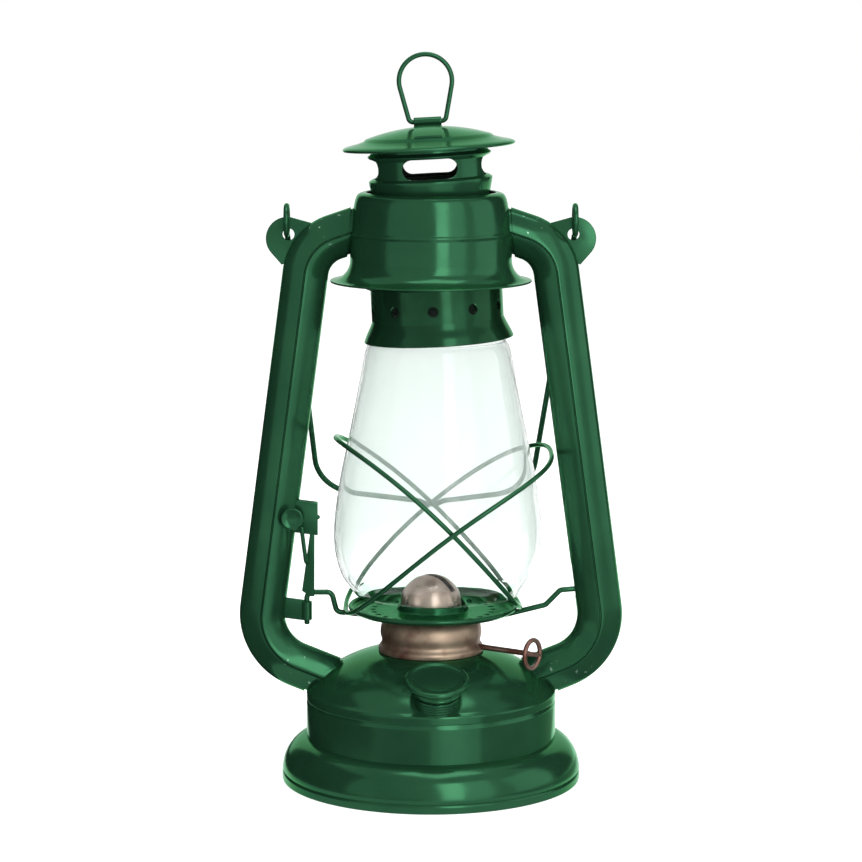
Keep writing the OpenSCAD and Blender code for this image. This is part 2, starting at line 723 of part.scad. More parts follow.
module bail_handle() {
    color(enamel) translate([0, 0, pivot_z]) rotate([bail_hang, 0, 0]) {
        translate([0, 0, -bail_l]) {
            rotate([0, 90, 0]) cylinder(d = bail_wire_d, h = 4 * weld_lap, center = true);
            bail_leg(right_splay);
            mirror([1, 0, 0]) bail_leg(left_splay);
        }
        for (side = [-1, 1]) translate([side * eye_x, 0, 0]) rotate([0, 90, 0])
            rotate_extrude() translate([eye_r, 0]) circle(d = bail_wire_d);
    }
}

// Hood
hood_path = concat([[hood_r + hood_cove_r, hood_lip_z]],
    ellipse_arc([hood_r + hood_cove_r, hood_lip_z + hood_cove_r], hood_cove_r, hood_cove_r, 262, 180, 10),
    [[hood_r - 0.1, hood_top_z - 18], [hood_r + 0.35, hood_top_z - 17.2], [hood_r - 0.2, hood_top_z - 16.4]],
    smooth([[hood_r - 1.4, hood_top_z - 7.6], [hood_r - 2.2, hood_top_z - 3.4],
        [hood_r - 3.4, hood_top_z - 0.9], [hood_r - 5.4, hood_top_z]], 4), [[hood_hole_d / 2, hood_top_z]]);
module hood() {
    color(enamel) difference() {
        spun(hood_path, sheet);
        for (side = [0, 1]) mirror([side, 0, 0]) tube_top_run(sheet, 0);
    }
}

// Chimney, which leans as one loose unit: collar on the glass, windowed tube, cap and lift ring
chimney_r = chimney_d / 2;
bead_z = hood_top_z + bead_rise;
window_z = bead_z + bead_out + window_h / 2;
flange_z = window_z + window_h / 2 + bead_out / 2;
brim_r = brim_d / 2;
brim_z = hood_top_z + brim_rise;
step_r = brim_r - 10;
step_h = 3.8;
strap_t = 0.8;
ring_r = ring_wire_d / 2;
pivot_ring_z = brim_z + cap_h + seam_gap + strap_t + ring_r + 2 * pin_play;
collar_tube_r = collar_d / 2;
collar_lip_r = collar_lip_d / 2;
spring_in = 1.2;
spring_seat_r = hood_hole_d / 2 + spring_in;
spring_r = spring_wire_d / 2;
function cap_dome_z(r) = brim_z + step_h + (cap_h - step_h) * (1 - pow(r / step_r, 2));
cap_dome = [for (i = [0:8]) let (r = step_r * (1 - i / 8)) [r, cap_dome_z(r)]];
cap_path = concat(smooth([[brim_r - 0.1, brim_z - sheet], [brim_r, brim_z], [brim_r - 1.4, brim_z + sheet],
    [brim_r - 6, brim_z + 1.9], [step_r + 1.2, brim_z + step_h - 1]], 3), cap_dome);
chimney_path = concat([[chimney_r, collar_top_z - 4]],
    smooth([[chimney_r, hood_top_z - 2], [chimney_r + bead_out / 2, bead_z - 4],
        [chimney_r + bead_out, bead_z], [chimney_r + bead_out * 0.8, bead_z + bead_out / 2],
        [chimney_r, bead_z + bead_out]], 3),
    smooth([[chimney_r, flange_z - bead_out], [chimney_r + bead_out, flange_z],
        [chimney_r + bead_out / 2, flange_z + bead_out / 2], [chimney_r, flange_z + bead_out]], 3),
    [[chimney_r, cap_dome_z(chimney_r) - sheet - 4 * seam_gap]]);
collar_path = concat(smooth([[collar_lip_r, collar_z], [collar_lip_r - 1.3, collar_z + 3.2],
    [collar_tube_r + 0.9, collar_z + 6.4], [collar_tube_r, collar_z + 8.6]], 3),
    [[collar_tube_r, collar_top_z - sheet / 2]]);
module leaning() {
    translate([0, 0, lean_z]) rotate([0, -chimney_lean, 0]) translate([0, 0, -lean_z]) children();
}
module globe_collar() {
    seat_in = chimney_r + seam_gap;
    seat_out = spring_seat_r + spring_wire_d;
    color(enamel) leaning() difference() {
        union() {
            spun(collar_path, sheet);
            rotate_extrude() translate([seat_in, collar_top_z - sheet]) square([seat_out - seat_in, sheet]);
        }
        for (i = [0:collar_hole_n - 1]) rotate(360 * (i + 0.4) / collar_hole_n)
            translate([collar_tube_r, 0, (collar_z + collar_top_z) / 2 + 2.4]) rotate([0, 90, 0])
                cylinder(d = collar_hole_d, h = 6, center = true);
    }
}
module chimney_tube() {
    color(enamel) leaning() difference() {
        spun(chimney_path, sheet);
        for (i = [0:window_n - 1]) rotate(360 * i / window_n - 90) translate([chimney_r, 0, window_z])
            rotate([90, 0, 90]) translate([0, 0, -4]) linear_extrude(8) window_outline();
    }
}
module window_outline() {
    reach = window_w / 2 - window_h / 2;
    square([2 * reach, window_h], center = true);
    for (side = [-1, 1]) translate([side * reach, 0]) circle(d = window_h);
}
module chimney_cap() {
    color(enamel) leaning() spun(cap_path, sheet);
}
module ring_strap() {
    sleeve_r = ring_r + pin_play;
    color(enamel) leaning() difference() {
        union() {
            intersection() {
                spun(set_off(cap_dome, -seam_gap - strap_t), strap_t);
                translate([0, 0, brim_z]) cube([strap_w, 2 * step_r - 4, 4 * cap_h], center = true);
            }
            translate([0, 0, pivot_ring_z]) rotate([0, 90, 0])
                cylinder(r = sleeve_r + strap_t, h = strap_w, center = true);
        }
        translate([0, 0, pivot_ring_z]) rotate([0, 90, 0])
            cylinder(r = sleeve_r, h = 2 * strap_w, center = true);
        spun_solid(set_off(cap_dome, -seam_gap / 2), 0);
    }
}
module lift_ring() {
    loop_r = ring_d / 2;
    bend_r = 2;
    up = 90 - ring_taper;
    runs = two_runs([0, ring_h] - turned(bend_r, 0, up) - turned(loop_r, up, 180), 0, up);
    color(enamel) leaning() translate([0, 0, pivot_ring_z]) {
        rotate([0, 90, 0]) cylinder(r = ring_r - weld_trim, h = 2 * (runs[0] + weld_lap), center = true);
        for (turn = [0, 180]) rotate(turn) translate([runs[0], 0, 0]) rotate([90, 0, 0])
            wire(ring_r, [[0, bend_r, up], [runs[1] + weld_lap, 1, 0]]);
        translate([0, 0, ring_h - loop_r]) rotate([90, 0, 0]) rotate(-ring_taper)
            rotate_extrude(angle = 180 + 2 * ring_taper) translate([loop_r, 0]) circle(ring_r);
    }
}
module chimney_spring() {
    steps = 14;
    low = collar_top_z + spring_r + run_gap;
    high = hood_top_z - sheet - spring_r - run_gap - spring_seat_r * sin(chimney_lean);
    turns = [for (i = [0:spring_turns * steps]) i / steps];
    route = [for (t = turns) [spring_seat_r * cos(360 * t), spring_seat_r * sin(360 * t),
        low + (high - low) * t / spring_turns]];
    out = [for (t = turns) [cos(360 * t), sin(360 * t), 0]];
    color("silver") leaning() swept_wire(route, out, spring_r, 6, false);
    apart = min([for (i = [0:len(route) - 1], k = [i + steps / 2:len(route) - 1]) norm(route[i] - route[k])]);
    echo(str("chimney_spring: least gap to itself ", apart - spring_wire_d, " mm"));
}

// Globe and its plate
plate_r = plate_d / 2;
hub_r = flame_r + plate_shift + run_gap + sheet;
rim_r = 0.9;
floor_z = plate_z - 2.4;
belly_r = globe_d / 2;
globe_top_r = globe_top_d / 2;
foot_play = 1.2;
globe_foot_r = plate_r - 2 * rim_r - (globe_shift - plate_shift) - foot_play;
globe_foot_z = plate_z - 1.4;
plate_path = [[plate_r - rim_r, plate_z - rim_r], [plate_r - 2.4, floor_z + 0.5], [plate_r - 5.2, floor_z],
    [hub_r + 2, floor_z], [hub_r, floor_z + 1], [hub_r, plate_z + 3.4], [hub_r - sheet / 2, plate_z + 4]];
function globe_low(out, up) =
    [globe_foot_r + out * (belly_r - globe_foot_r), globe_foot_z + up * (globe_belly_z - globe_foot_z)];
function globe_high(in, up) =
    [belly_r - in * (belly_r - globe_top_r), globe_belly_z + up * (globe_top_z - globe_belly_z)];
glass_path = smooth([globe_low(0, 0), globe_low(0.4, 0.24), globe_low(0.82, 0.53), globe_low(1, 1),
    globe_high(0.146, 0.26), globe_high(0.48, 0.57), globe_high(0.7, 0.786), globe_high(0.85, 0.94),
    globe_high(1, 1)], 5);
module glass_globe() {
    color(clear) translate([globe_shift, 0, 0]) spun(glass_path, glass_wall);
}
module globe_plate() {
    color(enamel) translate([plate_shift, 0, 0]) difference() {
        union() {
            spun(plate_path, sheet);
            rotate_extrude() translate([plate_r - rim_r, plate_z - rim_r]) circle(rim_r);
        }
        for (i = [0:plate_hole_n - 1]) rotate(360 * i / plate_hole_n)
            translate([(plate_r + hub_r) / 2, 0, floor_z - 2]) cylinder(d = 2.6, h = 4);
    }
}

// Guard hoops: slanted loops that bow over the belly of the glass
guard_r = guard_wire_d / 2;
hoop_squareness = 2.6;
left_twist = -5.5;
right_twist = 2;
hoop_points_n = 44;
function power(v) = sign(v) * pow(abs(v), 2 / hoop_squareness);
function hoop(low_x, high_x, low_z, high_z, half, twist) =
    [for (i = [0:hoop_points_n - 1])
        let (a = 360 * (i + 0.5) / hoop_points_n, u = power(cos(a)), v = power(sin(a)))
        [(low_x + high_x) / 2 + (high_x - low_x) / 2 * u, half * v,
            (low_z + high_z) / 2 + (high_z - low_z) / 2 * u + guard_bow * (1 - u * u) + twist * v]];
module guard_hoop(points) {
    out = [for (p = points) [p[0], p[1], 0]];
    color(enamel) swept_wire(points, out, guard_r, 8, true);
}
hoop_low_r = plate_r + guard_r + 2 * seam_gap;
hoop_low_z = plate_z - rim_r;
module left_guard_wire() {
    guard_hoop(hoop(plate_shift + hoop_low_r, -left_guard_reach, hoop_low_z, left_guard_z,
        guard_half, left_twist));
}
module right_guard_wire() {
    guard_hoop(hoop(plate_shift - hoop_low_r, right_guard_reach, hoop_low_z, right_guard_z,
        guard_half + guard_wire_d + run_gap, right_twist));
}

// Lift arms: bent wires from under the plate to the lever and to the slot in the right tube
arm_r = arm_wire_d / 2;
arm_under = 7;
arm_start = plate_r - arm_under;
arm_touch = 3.15;
left_arm_slope = 6;
left_arm_steep = 58;
left_arm_end = 6;
right_arm_slope = 14;
right_arm_steep = 46;
right_arm_level = 5;
right_arm_end = 9;
right_arm_in = 4;
pin_off = 0.8;
pin_below = 5.5;
function arm_from_z(slope) = floor_z - sheet - arm_r - seam_gap - arm_touch * tan(slope);
lever_back = -arm_r - seam_gap;
pin_x = lever_x + pin_off;
arm_bend_r = 2.6;
function arm_steps(reach, rise, first, steep, last, end, hook) =
    let (level = end * [cos(last), sin(last)],
        bends = turned(arm_bend_r, first, steep) + turned(-arm_bend_r, steep, last) + level,
        runs = two_runs([reach, rise] - bends, first, steep))
    [[runs[0], arm_bend_r, steep - first], [runs[1], arm_bend_r, last - steep], [end, arm_bend_r, hook]];
module left_lift_arm() {
    start = arm_start - plate_shift;
    reach = pin_x - arm_bend_r - start;
    pin_l = left_arm_z - arm_bend_r - lower_bracket_z + pin_below;
    from_z = arm_from_z(left_arm_slope);
    steps = arm_steps(reach, left_arm_z - from_z, left_arm_slope, left_arm_steep, 0, left_arm_end, -90);
    color(enamel) mirror([1, 0, 0]) translate([start, 0, from_z]) rotate([90, 0, 0]) rotate(left_arm_slope)
        wire(arm_r, concat(steps, [[pin_l, 1, 0]]));
}
module right_lift_arm() {
    start = arm_start + plate_shift;
    end_x = tube_edge_x(right_arm_z) + right_arm_in;
    from_z = arm_from_z(right_arm_slope);
    color(enamel) translate([start, 0, from_z]) rotate([90, 0, 0]) rotate(right_arm_slope)
        wire(arm_r, arm_steps(end_x - start, right_arm_z - from_z, right_arm_slope, right_arm_steep,
            right_arm_level, right_arm_end, 0));
}

// Lift lever: a strip behind the upper bracket's face, with a thumb disc on a thin leg that steps forward
lever_lap = 0.3;
lever_low_z = left_arm_z - arm_r - lever_lap;
lever_notch = [2, 2.4];
thumb_off = [-6.5, -7.2];
thumb_t = 1.8;
thumb_rim = 1;
thumb_floor = 0.5;
leg_r = 0.9;
peg_r = 1.2;
leg_drop = 17.8;
leg_step = 4.3;
leg_end = [1.4, 0.8, -2.6];
bracket_t = 1;
bracket_root = 2;
upper_bracket_below = 6;
upper_bracket_h = 14;
upper_bracket_z = lever_top_z - upper_bracket_below;
nub_rise = 0.8;
lower_bracket_below = 8;
lower_bracket_h = 9;
lower_bracket_z = left_arm_z - lower_bracket_below;
module rod(from, to, r) {
    way = to - from;
    translate(from) rotate([0, acos(way[2] / norm(way)), atan2(way[1], way[0])])
        cylinder(r = r, h = norm(way));
}
module lift_lever() {
    front = lever_back - lever_t;
    thumb_at = [-lever_x + thumb_off[0], front + thumb_off[1], thumb_z];
    leg_at = [-lever_x - lever_w / 2 + peg_r, front + lever_lap, thumb_z - leg_drop];
    color(enamel) {
        translate([-lever_x, lever_back, 0]) rotate([90, 0, 0]) linear_extrude(lever_t) polygon([
            [-lever_w / 2, lever_top_z], [lever_w / 2, lever_top_z], [lever_w / 2, lever_low_z],
            [lever_w / 2 - lever_notch[0], lever_low_z], [-lever_w / 2, lever_low_z + lever_notch[1]]]);
        translate(leg_at) rotate([90, 0, 0]) cylinder(r = peg_r, h = leg_step + peg_r);
        rod(leg_at + [0, -leg_step, 0], thumb_at + leg_end, leg_r);
        translate(thumb_at) rotate([90, 0, 0]) difference() {
            cylinder(d = thumb_d, h = thumb_t, center = true);
            translate([0, 0, thumb_floor]) cylinder(d = thumb_d - 2 * thumb_rim, h = thumb_t);
        }
    }
}
module upper_lever_bracket() {
    pocket_back = lever_back + run_gap;
    pocket_front = lever_back - lever_t - run_gap;
    tip = lever_x - lever_w / 2 - run_gap - bracket_t;
    edge_x = tube_edge_x(upper_bracket_z) + bracket_root;
    slant = (edge_x - tip) * tan(tube_lean);
    color(enamel) mirror([1, 0, 0]) difference() {
        union() {
            translate([0, pocket_back + bracket_t, upper_bracket_z]) rotate([90, 0, 0])
                linear_extrude(pocket_back - pocket_front + 2 * bracket_t) polygon([
                    [tip, -upper_bracket_h / 2], [tip, upper_bracket_h / 2],
                    [edge_x, upper_bracket_h / 2 + slant], [edge_x, -upper_bracket_h / 2 + slant]]);
            translate([tip, pocket_front, upper_bracket_z + nub_rise]) sphere(r = bracket_t);
        }
        translate([tip + bracket_t, pocket_front, upper_bracket_z - upper_bracket_h])
            cube([tube_w, pocket_back - pocket_front, 3 * upper_bracket_h]);
        tube_long_run(-seam_gap, 0);
    }
}
module lower_lever_bracket() {
    edge_x = tube_edge_x(lower_bracket_z) + bracket_root;
    slant = (edge_x - pin_x) * tan(tube_lean);
    sleeve_h = lower_bracket_h - bracket_t;
    color(enamel) mirror([1, 0, 0]) difference() {
        union() {
            translate([0, bracket_t / 2, lower_bracket_z]) rotate([90, 0, 0]) linear_extrude(bracket_t)
                polygon([[pin_x, -lower_bracket_h / 2], [pin_x, lower_bracket_h / 2],
                    [edge_x, lower_bracket_h / 2 + slant], [edge_x, -lower_bracket_h / 2 + slant]]);
            translate([pin_x, 0, lower_bracket_z])
                cylinder(r = arm_r + pin_play + bracket_t, h = sleeve_h, center = true);
        }
        translate([pin_x, 0, lower_bracket_z])
            cylinder(r = arm_r + pin_play, h = 2 * lower_bracket_h, center = true);
        tube_long_run(-seam_gap, 0);
        tube_low_bend(-seam_gap, 0);
    }
}

tank_base();
tank_dome();
tank_bottom();
fuel_deck();
filler_neck();
filler_seal();
filler_cap();
burner_socket();
burner_throat();
burner_screen();
burner_base();
burner_dome();
wick_tube();
wick();
wick_shaft();
spur_wheels();
wick_knob();
left_tube();
right_tube();
left_bail_ear();
right_bail_ear();
bail_handle();
hood();
chimney_spring();
globe_collar();
chimney_tube();
chimney_cap();
ring_strap();
lift_ring();
glass_globe();
globe_plate();
left_guard_wire();
right_guard_wire();
left_lift_arm();
right_lift_arm();
lift_lever();
upper_lever_bracket();
lower_lever_bracket();
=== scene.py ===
"""Looks of a green kerosene lantern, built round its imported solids.

Run as a script: it makes every visible piece with its finish, the floor, the light and the camera.
"""

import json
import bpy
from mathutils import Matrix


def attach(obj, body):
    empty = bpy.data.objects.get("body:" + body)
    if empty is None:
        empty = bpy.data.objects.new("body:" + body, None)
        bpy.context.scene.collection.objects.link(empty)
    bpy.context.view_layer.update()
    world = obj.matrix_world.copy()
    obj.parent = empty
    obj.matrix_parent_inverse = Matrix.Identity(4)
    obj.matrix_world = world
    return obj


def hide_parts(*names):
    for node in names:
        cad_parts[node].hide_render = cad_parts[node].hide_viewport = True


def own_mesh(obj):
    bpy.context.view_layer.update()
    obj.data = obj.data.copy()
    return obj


bl_info = {
    "name": "Kerosene Lantern",
    "version": (1, 0, 0),
    "blender": (4, 5, 0),
    "location": "3D View > Sidebar > Lantern",
    "description": "Builds the visible pieces of a kerosene lantern round its packed solids",
    "category": "Object",
}

from math import ceil, copysign, cos, hypot, pi, radians, sin, tan

import bmesh
import bpy
from bpy.props import FloatProperty, FloatVectorProperty, PointerProperty
from mathutils import Matrix, Vector

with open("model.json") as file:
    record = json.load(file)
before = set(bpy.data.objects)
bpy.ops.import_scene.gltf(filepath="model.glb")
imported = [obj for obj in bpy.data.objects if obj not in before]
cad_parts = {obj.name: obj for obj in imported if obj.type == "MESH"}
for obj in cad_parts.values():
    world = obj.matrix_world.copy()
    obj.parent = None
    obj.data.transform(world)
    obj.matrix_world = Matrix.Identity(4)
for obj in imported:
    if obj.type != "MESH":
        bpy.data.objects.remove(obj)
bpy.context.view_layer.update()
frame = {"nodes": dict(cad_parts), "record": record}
MM = 0.001
UP = Vector((0, 0, 1))
DEPTH = Vector((0, 1, 0))

# Sizes and places that several pieces share, in millimetres
TANK_R = 53.5
DOME_Z = 55.4
NECK_R = 8.8
CROWN_R = 26.3
RING_Z = 281.57
FILLER = (Matrix.Rotation(radians(3), 4, "Z") @ Matrix.Translation((0, -48.5, 54.2))
    @ Matrix.Rotation(radians(19.4), 4, "X"))
# Edges sharper than this angle in degrees stay crisp
CREASE = 38
# The loose chimney leans about a point at the top of the hood
LEAN_Z = 254
LEAN = (Matrix.Translation((0, 0, LEAN_Z)) @ Matrix.Rotation(radians(-3), 4, "Y")
    @ Matrix.Translation((0, 0, -LEAN_Z)))


# Colours and shader nodes

def linear(code):
    """Linear RGBA of an sRGB hex colour."""
    parts = [int(code[i:i + 2], 16) / 255 for i in (1, 3, 5)]
    return (*[c / 12.92 if c <= 0.04045 else ((c + 0.055) / 1.055) ** 2.4 for c in parts], 1.0)


def add_node(tree, kind, sockets=None, stops=(), **settings):
    """Adds a shader node, sets its fields and the stops of its colour ramp, and sets or links its sockets.
    A node given for a socket is linked by its first output."""
    made = tree.nodes.new(kind)
    for name, value in settings.items():
        setattr(made, name, value)
    for i, (place, colour) in enumerate(stops):
        made.color_ramp.elements[i].position = place
        made.color_ramp.elements[i].color = colour
    for name, value in (sockets or {}).items():
        if isinstance(value, bpy.types.Node):
            value = value.outputs[0]
        if isinstance(value, bpy.types.NodeSocket):
            tree.links.new(value, made.inputs[name])
        else:
            made.inputs[name].default_value = value
    return made


def new_material(name):
    """An empty node material, with its tree and the object coordinates in metres."""
    material = bpy.data.materials.new(name)
    material.use_nodes = True
    tree = material.node_tree
    tree.nodes.clear()
    return material, tree, add_node(tree, "ShaderNodeTexCoord").outputs["Object"]


def enamel_coat(name, dark, light, look):
    """Stoved green enamel on tinplate: dipped and baked, so it is glossy, with a faint orange peel, thin
    runs down the walls, a few dust nibs, and pale chips with painted glints at the tubes' ends. Its gloss
    takes the paint's own green, as in a flake lacquer, so a share of it is set as metallic."""
    material, tree, place = new_material(name)
    cloud = add_node(tree, "ShaderNodeTexNoise", {"Vector": place, "Scale": 1 / (28 * MM), "Detail": 3})
    coat = add_node(tree, "ShaderNodeValToRGB", {"Fac": cloud}, ((0.3, (*dark, 1)), (0.75, (*light, 1))))
    smudge = add_node(tree, "ShaderNodeTexNoise", {"Vector": place, "Scale": 1 / (9 * MM), "Detail": 5})
    rough = add_node(tree, "ShaderNodeMapRange", {"Value": smudge, "From Min": 0.3, "From Max": 0.75,
        "To Min": look.enamel_rough - 0.03, "To Max": look.enamel_rough + 0.06})
    long_place = add_node(tree, "ShaderNodeMapping", {"Vector": place, "Scale": (1, 1, 0.12)})
    runs = add_node(tree, "ShaderNodeTexNoise", {"Vector": long_place, "Scale": 1 / (6 * MM), "Detail": 1})
    peel = add_node(tree, "ShaderNodeTexNoise", {"Vector": place, "Scale": 1 / (2.2 * MM), "Detail": 2})
    nibs = add_node(tree, "ShaderNodeTexVoronoi", {"Vector": place, "Scale": 1 / (9 * MM)})
    nib = add_node(tree, "ShaderNodeMapRange", {"Value": nibs, "From Min": 0.03, "From Max": 0.07,
        "To Min": 1, "To Max": 0})
    # Pale chips and painted glints at the tubes' ends, where they meet the hood and the dome
    chips_and_glints = add_node(tree, "ShaderNodeMapRange", {"Value": peel, "From Min": 0.69, "From Max": 0.76})
    side = add_node(tree, "ShaderNodeVectorMath", {0: place}, operation="ABSOLUTE")
    for spot, reach in (((44, 4, 238), 12), ((59, 4, 46), 14)):
        far = add_node(tree, "ShaderNodeVectorMath", {0: side, 1: Vector(spot) * MM}, operation="DISTANCE")
        near = add_node(tree, "ShaderNodeMapRange", {"Value": far.outputs["Value"],
            "From Min": 0.5 * reach * MM, "From Max": reach * MM, "To Min": 0.6, "To Max": 0})
        share = add_node(tree, "ShaderNodeMath", {0: chips_and_glints, 1: near}, operation="MULTIPLY")
        coat = add_node(tree, "ShaderNodeMixRGB", {"Fac": share, "Color1": coat, "Color2": linear("#a9c9b7")})
    bump = add_node(tree, "ShaderNodeBump", {"Height": nib, "Strength": 0.25, "Distance": 0.1 * MM})
    for height, strength, distance in ((runs, 0.22, 0.15), (peel, 0.16, 0.05)):
        bump = add_node(tree, "ShaderNodeBump", {"Height": height, "Strength": strength,
            "Distance": distance * MM, "Normal": bump})
    skin = add_node(tree, "ShaderNodeBsdfPrincipled", {"Base Color": coat, "Metallic": look.enamel_metal,
        "Roughness": rough, "IOR": 1.5, "Specular IOR Level": 0.12,
        "Specular Tint": (*look.enamel_gloss, 1), "Normal": bump})
    add_node(tree, "ShaderNodeOutputMaterial", {"Surface": skin})
    return material


def stoved_enamel(look):
    """The enamel that covers the painted sheet and wire."""
    return enamel_coat("stoved_green_enamel", look.enamel_dark, look.enamel_light, look)


def painted_shade_enamel(look):
    """The enamel of the collar and the filler's neck, darker: painted shade under the hood's lip and the cap.
    """
    return enamel_coat("painted_shade_green_enamel", look.enamel_painted_shade, look.enamel_dark, look)


def brass_sheet(name, bare, stain, clean, rough):
    """Brass with a bloom that runs from its stain to bare metal, and the fine rings left by spinning."""
    material, tree, place = new_material(name)
    bloom = add_node(tree, "ShaderNodeTexNoise", {"Vector": place, "Scale": 1 / (13 * MM), "Detail": 3,
        "Roughness": 0.5})
    colour = add_node(tree, "ShaderNodeValToRGB", {"Fac": bloom},
        ((clean - 0.24, (*stain, 1)), (clean, (*bare, 1))))
    dull = add_node(tree, "ShaderNodeMapRange", {"Value": bloom, "From Min": 0.3, "From Max": 0.7,
        "To Min": rough + 0.1, "To Max": rough - 0.05})
    # Spun rings are about 0.1 mm apart on the real part, drawn here at 0.5 mm so that they show
    flat_place = add_node(tree, "ShaderNodeMapping", {"Vector": place, "Scale": (0.03, 0.03, 1)})
    rings = add_node(tree, "ShaderNodeTexNoise", {"Vector": flat_place, "Scale": 1 / (0.5 * MM), "Detail": 2})
    bump = add_node(tree, "ShaderNodeBump", {"Height": rings, "Strength": 0.3, "Distance": 0.02 * MM})
    skin = add_node(tree, "ShaderNodeBsdfPrincipled", {"Base Color": colour, "Metallic": 0.8,
        "Roughness": dull, "Specular IOR Level": 0.2, "Normal": bump})
    add_node(tree, "ShaderNodeOutputMaterial", {"Surface": skin})
    return material


def tarnished_brass(look):
    """Spun rose brass gone dull: a satin metal with a brown bloom and maroon stains."""
    return brass_sheet("tarnished_rose_brass", look.brass, look.brass_stain, 0.52, 0.44)


def bleached_brass(look):
    """The flame dome's brass, bleached by heat: paler and greyer than the barrel, and smoother."""
    return brass_sheet("heat_bleached_brass", look.flame_dome, look.brass_stain, 0.5, 0.29)


def browned_brass(look):
    """The knob's brass, browned by heat and handling: a dark maroon metal, brighter where fingers rub it."""
    return brass_sheet("browned_brass_wire", look.knob, look.brass_stain, 0.66, 0.36)


def inner_painted_shade_enamel(look):
    """The same enamel on the inner faces of the chimney and hood, matt and darkened: painted shade for the
    dim inside.
    """
    material, tree, place = new_material("inner_painted_shade_green_enamel")
    inner_shade_cloud = add_node(tree, "ShaderNodeTexNoise", {"Vector": place, "Scale": 1 / (8 * MM), "Detail": 5})
    colour = add_node(tree, "ShaderNodeValToRGB", {"Fac": inner_shade_cloud},
        ((0, linear("#060a08")), (1, (*look.inner_painted_shade, 1))))
    skin = add_node(tree, "ShaderNodeBsdfPrincipled", {"Base Color": colour, "Roughness": 0.55,
        "Specular IOR Level": 0.15})
    add_node(tree, "ShaderNodeOutputMaterial", {"Surface": skin})
    return material


def clear_glass(look):
    """Clear soda glass, blown in a mould: nearly colourless, with a slow waviness left by the mould, and a
    pale bloom above the flame that veils what is behind it, most where the eye looks along the wall."""
    material, tree, place = new_material("blown_soda_glass")
    height = add_node(tree, "ShaderNodeSeparateXYZ", {"Vector": place}).outputs["Z"]
    wave = add_node(tree, "ShaderNodeTexNoise", {"Vector": place, "Scale": 1 / (16 * MM), "Detail": 1})
    bump = add_node(tree, "ShaderNodeBump", {"Height": wave, "Strength": 0.12, "Distance": 0.2 * MM})
    skin = add_node(tree, "ShaderNodeBsdfPrincipled", {"Base Color": (*look.glass, 1), "Roughness": 0,
        "IOR": 1.5, "Specular Tint": (0.25, 0.25, 0.25, 1), "Transmission Weight": 1, "Normal": bump})
    # The ground foot of the wall shows nothing but the dish that it stands in
    open_wall = add_node(tree, "ShaderNodeBsdfTransparent", {"Color": linear("#eef8f3")})
    foot = add_node(tree, "ShaderNodeMapRange", {"Value": height, "From Min": 81 * MM, "From Max": 81.2 * MM,
        "To Min": 1, "To Max": 0})
    wall = add_node(tree, "ShaderNodeMixShader", {0: foot, 1: skin, 2: open_wall})
    # The bloom starts above the flame, lies in slow patches and is deeper where the wall is seen on edge
    rise = add_node(tree, "ShaderNodeMapRange", {"Value": height, "From Min": 94 * MM, "From Max": 106 * MM,
        "To Max": look.haze}, interpolation_type="SMOOTHSTEP")
    cloud = add_node(tree, "ShaderNodeTexNoise", {"Vector": place, "Scale": 1 / (40 * MM), "Detail": 2})
    patch = add_node(tree, "ShaderNodeMapRange", {"Value": cloud, "From Min": 0.3, "From Max": 0.7,
        "To Min": 0.9, "To Max": 1.1})
    slant = add_node(tree, "ShaderNodeLayerWeight", {"Blend": 0.4})
    depth = add_node(tree, "ShaderNodeMapRange", {"Value": slant.outputs["Facing"], "To Min": 0.9,
        "To Max": 1.9})
    patchy = add_node(tree, "ShaderNodeMath", {0: rise, 1: patch}, operation="MULTIPLY")
    amount = add_node(tree, "ShaderNodeMath", {0: patchy, 1: depth}, operation="MULTIPLY", use_clamp=True)
    front = add_node(tree, "ShaderNodeBsdfDiffuse", {"Color": linear("#dfe4e2")})
    back = add_node(tree, "ShaderNodeBsdfTranslucent", {"Color": linear("#dfe4e2")})
    bloom = add_node(tree, "ShaderNodeMixShader", {0: 0.5, 1: front, 2: back})
    veiled = add_node(tree, "ShaderNodeMixShader", {0: amount, 1: wall, 2: bloom})
    # Light falls straight through the thin wall on what stands inside and behind it
    path = add_node(tree, "ShaderNodeLightPath")
    lit = add_node(tree, "ShaderNodeMixShader", {0: path.outputs["Is Shadow Ray"], 1: veiled, 2: open_wall})
    add_node(tree, "ShaderNodeOutputMaterial", {"Surface": lit})
    return material


def woven_cotton(look):
    """Flat woven cotton wick: cream, matt and fuzzy, with fine ribs and a charred top edge."""
    material, tree, place = new_material("woven_cotton_wick")
    # A wave node at this scale has ribs about 1.6 mm apart, twice the real spacing, so that they show
    weave = add_node(tree, "ShaderNodeTexWave", {"Vector": place, "Scale": 1 / (5 * MM), "Distortion": 1.5},
        bands_direction="Z").outputs["Fac"]
    colour = add_node(tree, "ShaderNodeValToRGB", {"Fac": weave},
        ((0, (*look.cotton_shade, 1)), (1, (*look.cotton, 1))))
    height = add_node(tree, "ShaderNodeSeparateXYZ", {"Vector": place}).outputs["Z"]
    char = add_node(tree, "ShaderNodeMapRange", {"Value": height, "From Min": 81.2 * MM, "From Max": 83 * MM})
    burnt = add_node(tree, "ShaderNodeMixRGB", {"Fac": char, "Color1": colour, "Color2": linear("#1c1713")})
    bump = add_node(tree, "ShaderNodeBump", {"Height": weave, "Strength": 0.6, "Distance": 0.2 * MM})
    skin = add_node(tree, "ShaderNodeBsdfPrincipled", {"Base Color": burnt, "Roughness": 0.9,
        "Sheen Weight": 0.3, "Normal": bump})
    add_node(tree, "ShaderNodeOutputMaterial", {"Surface": skin})
    return material


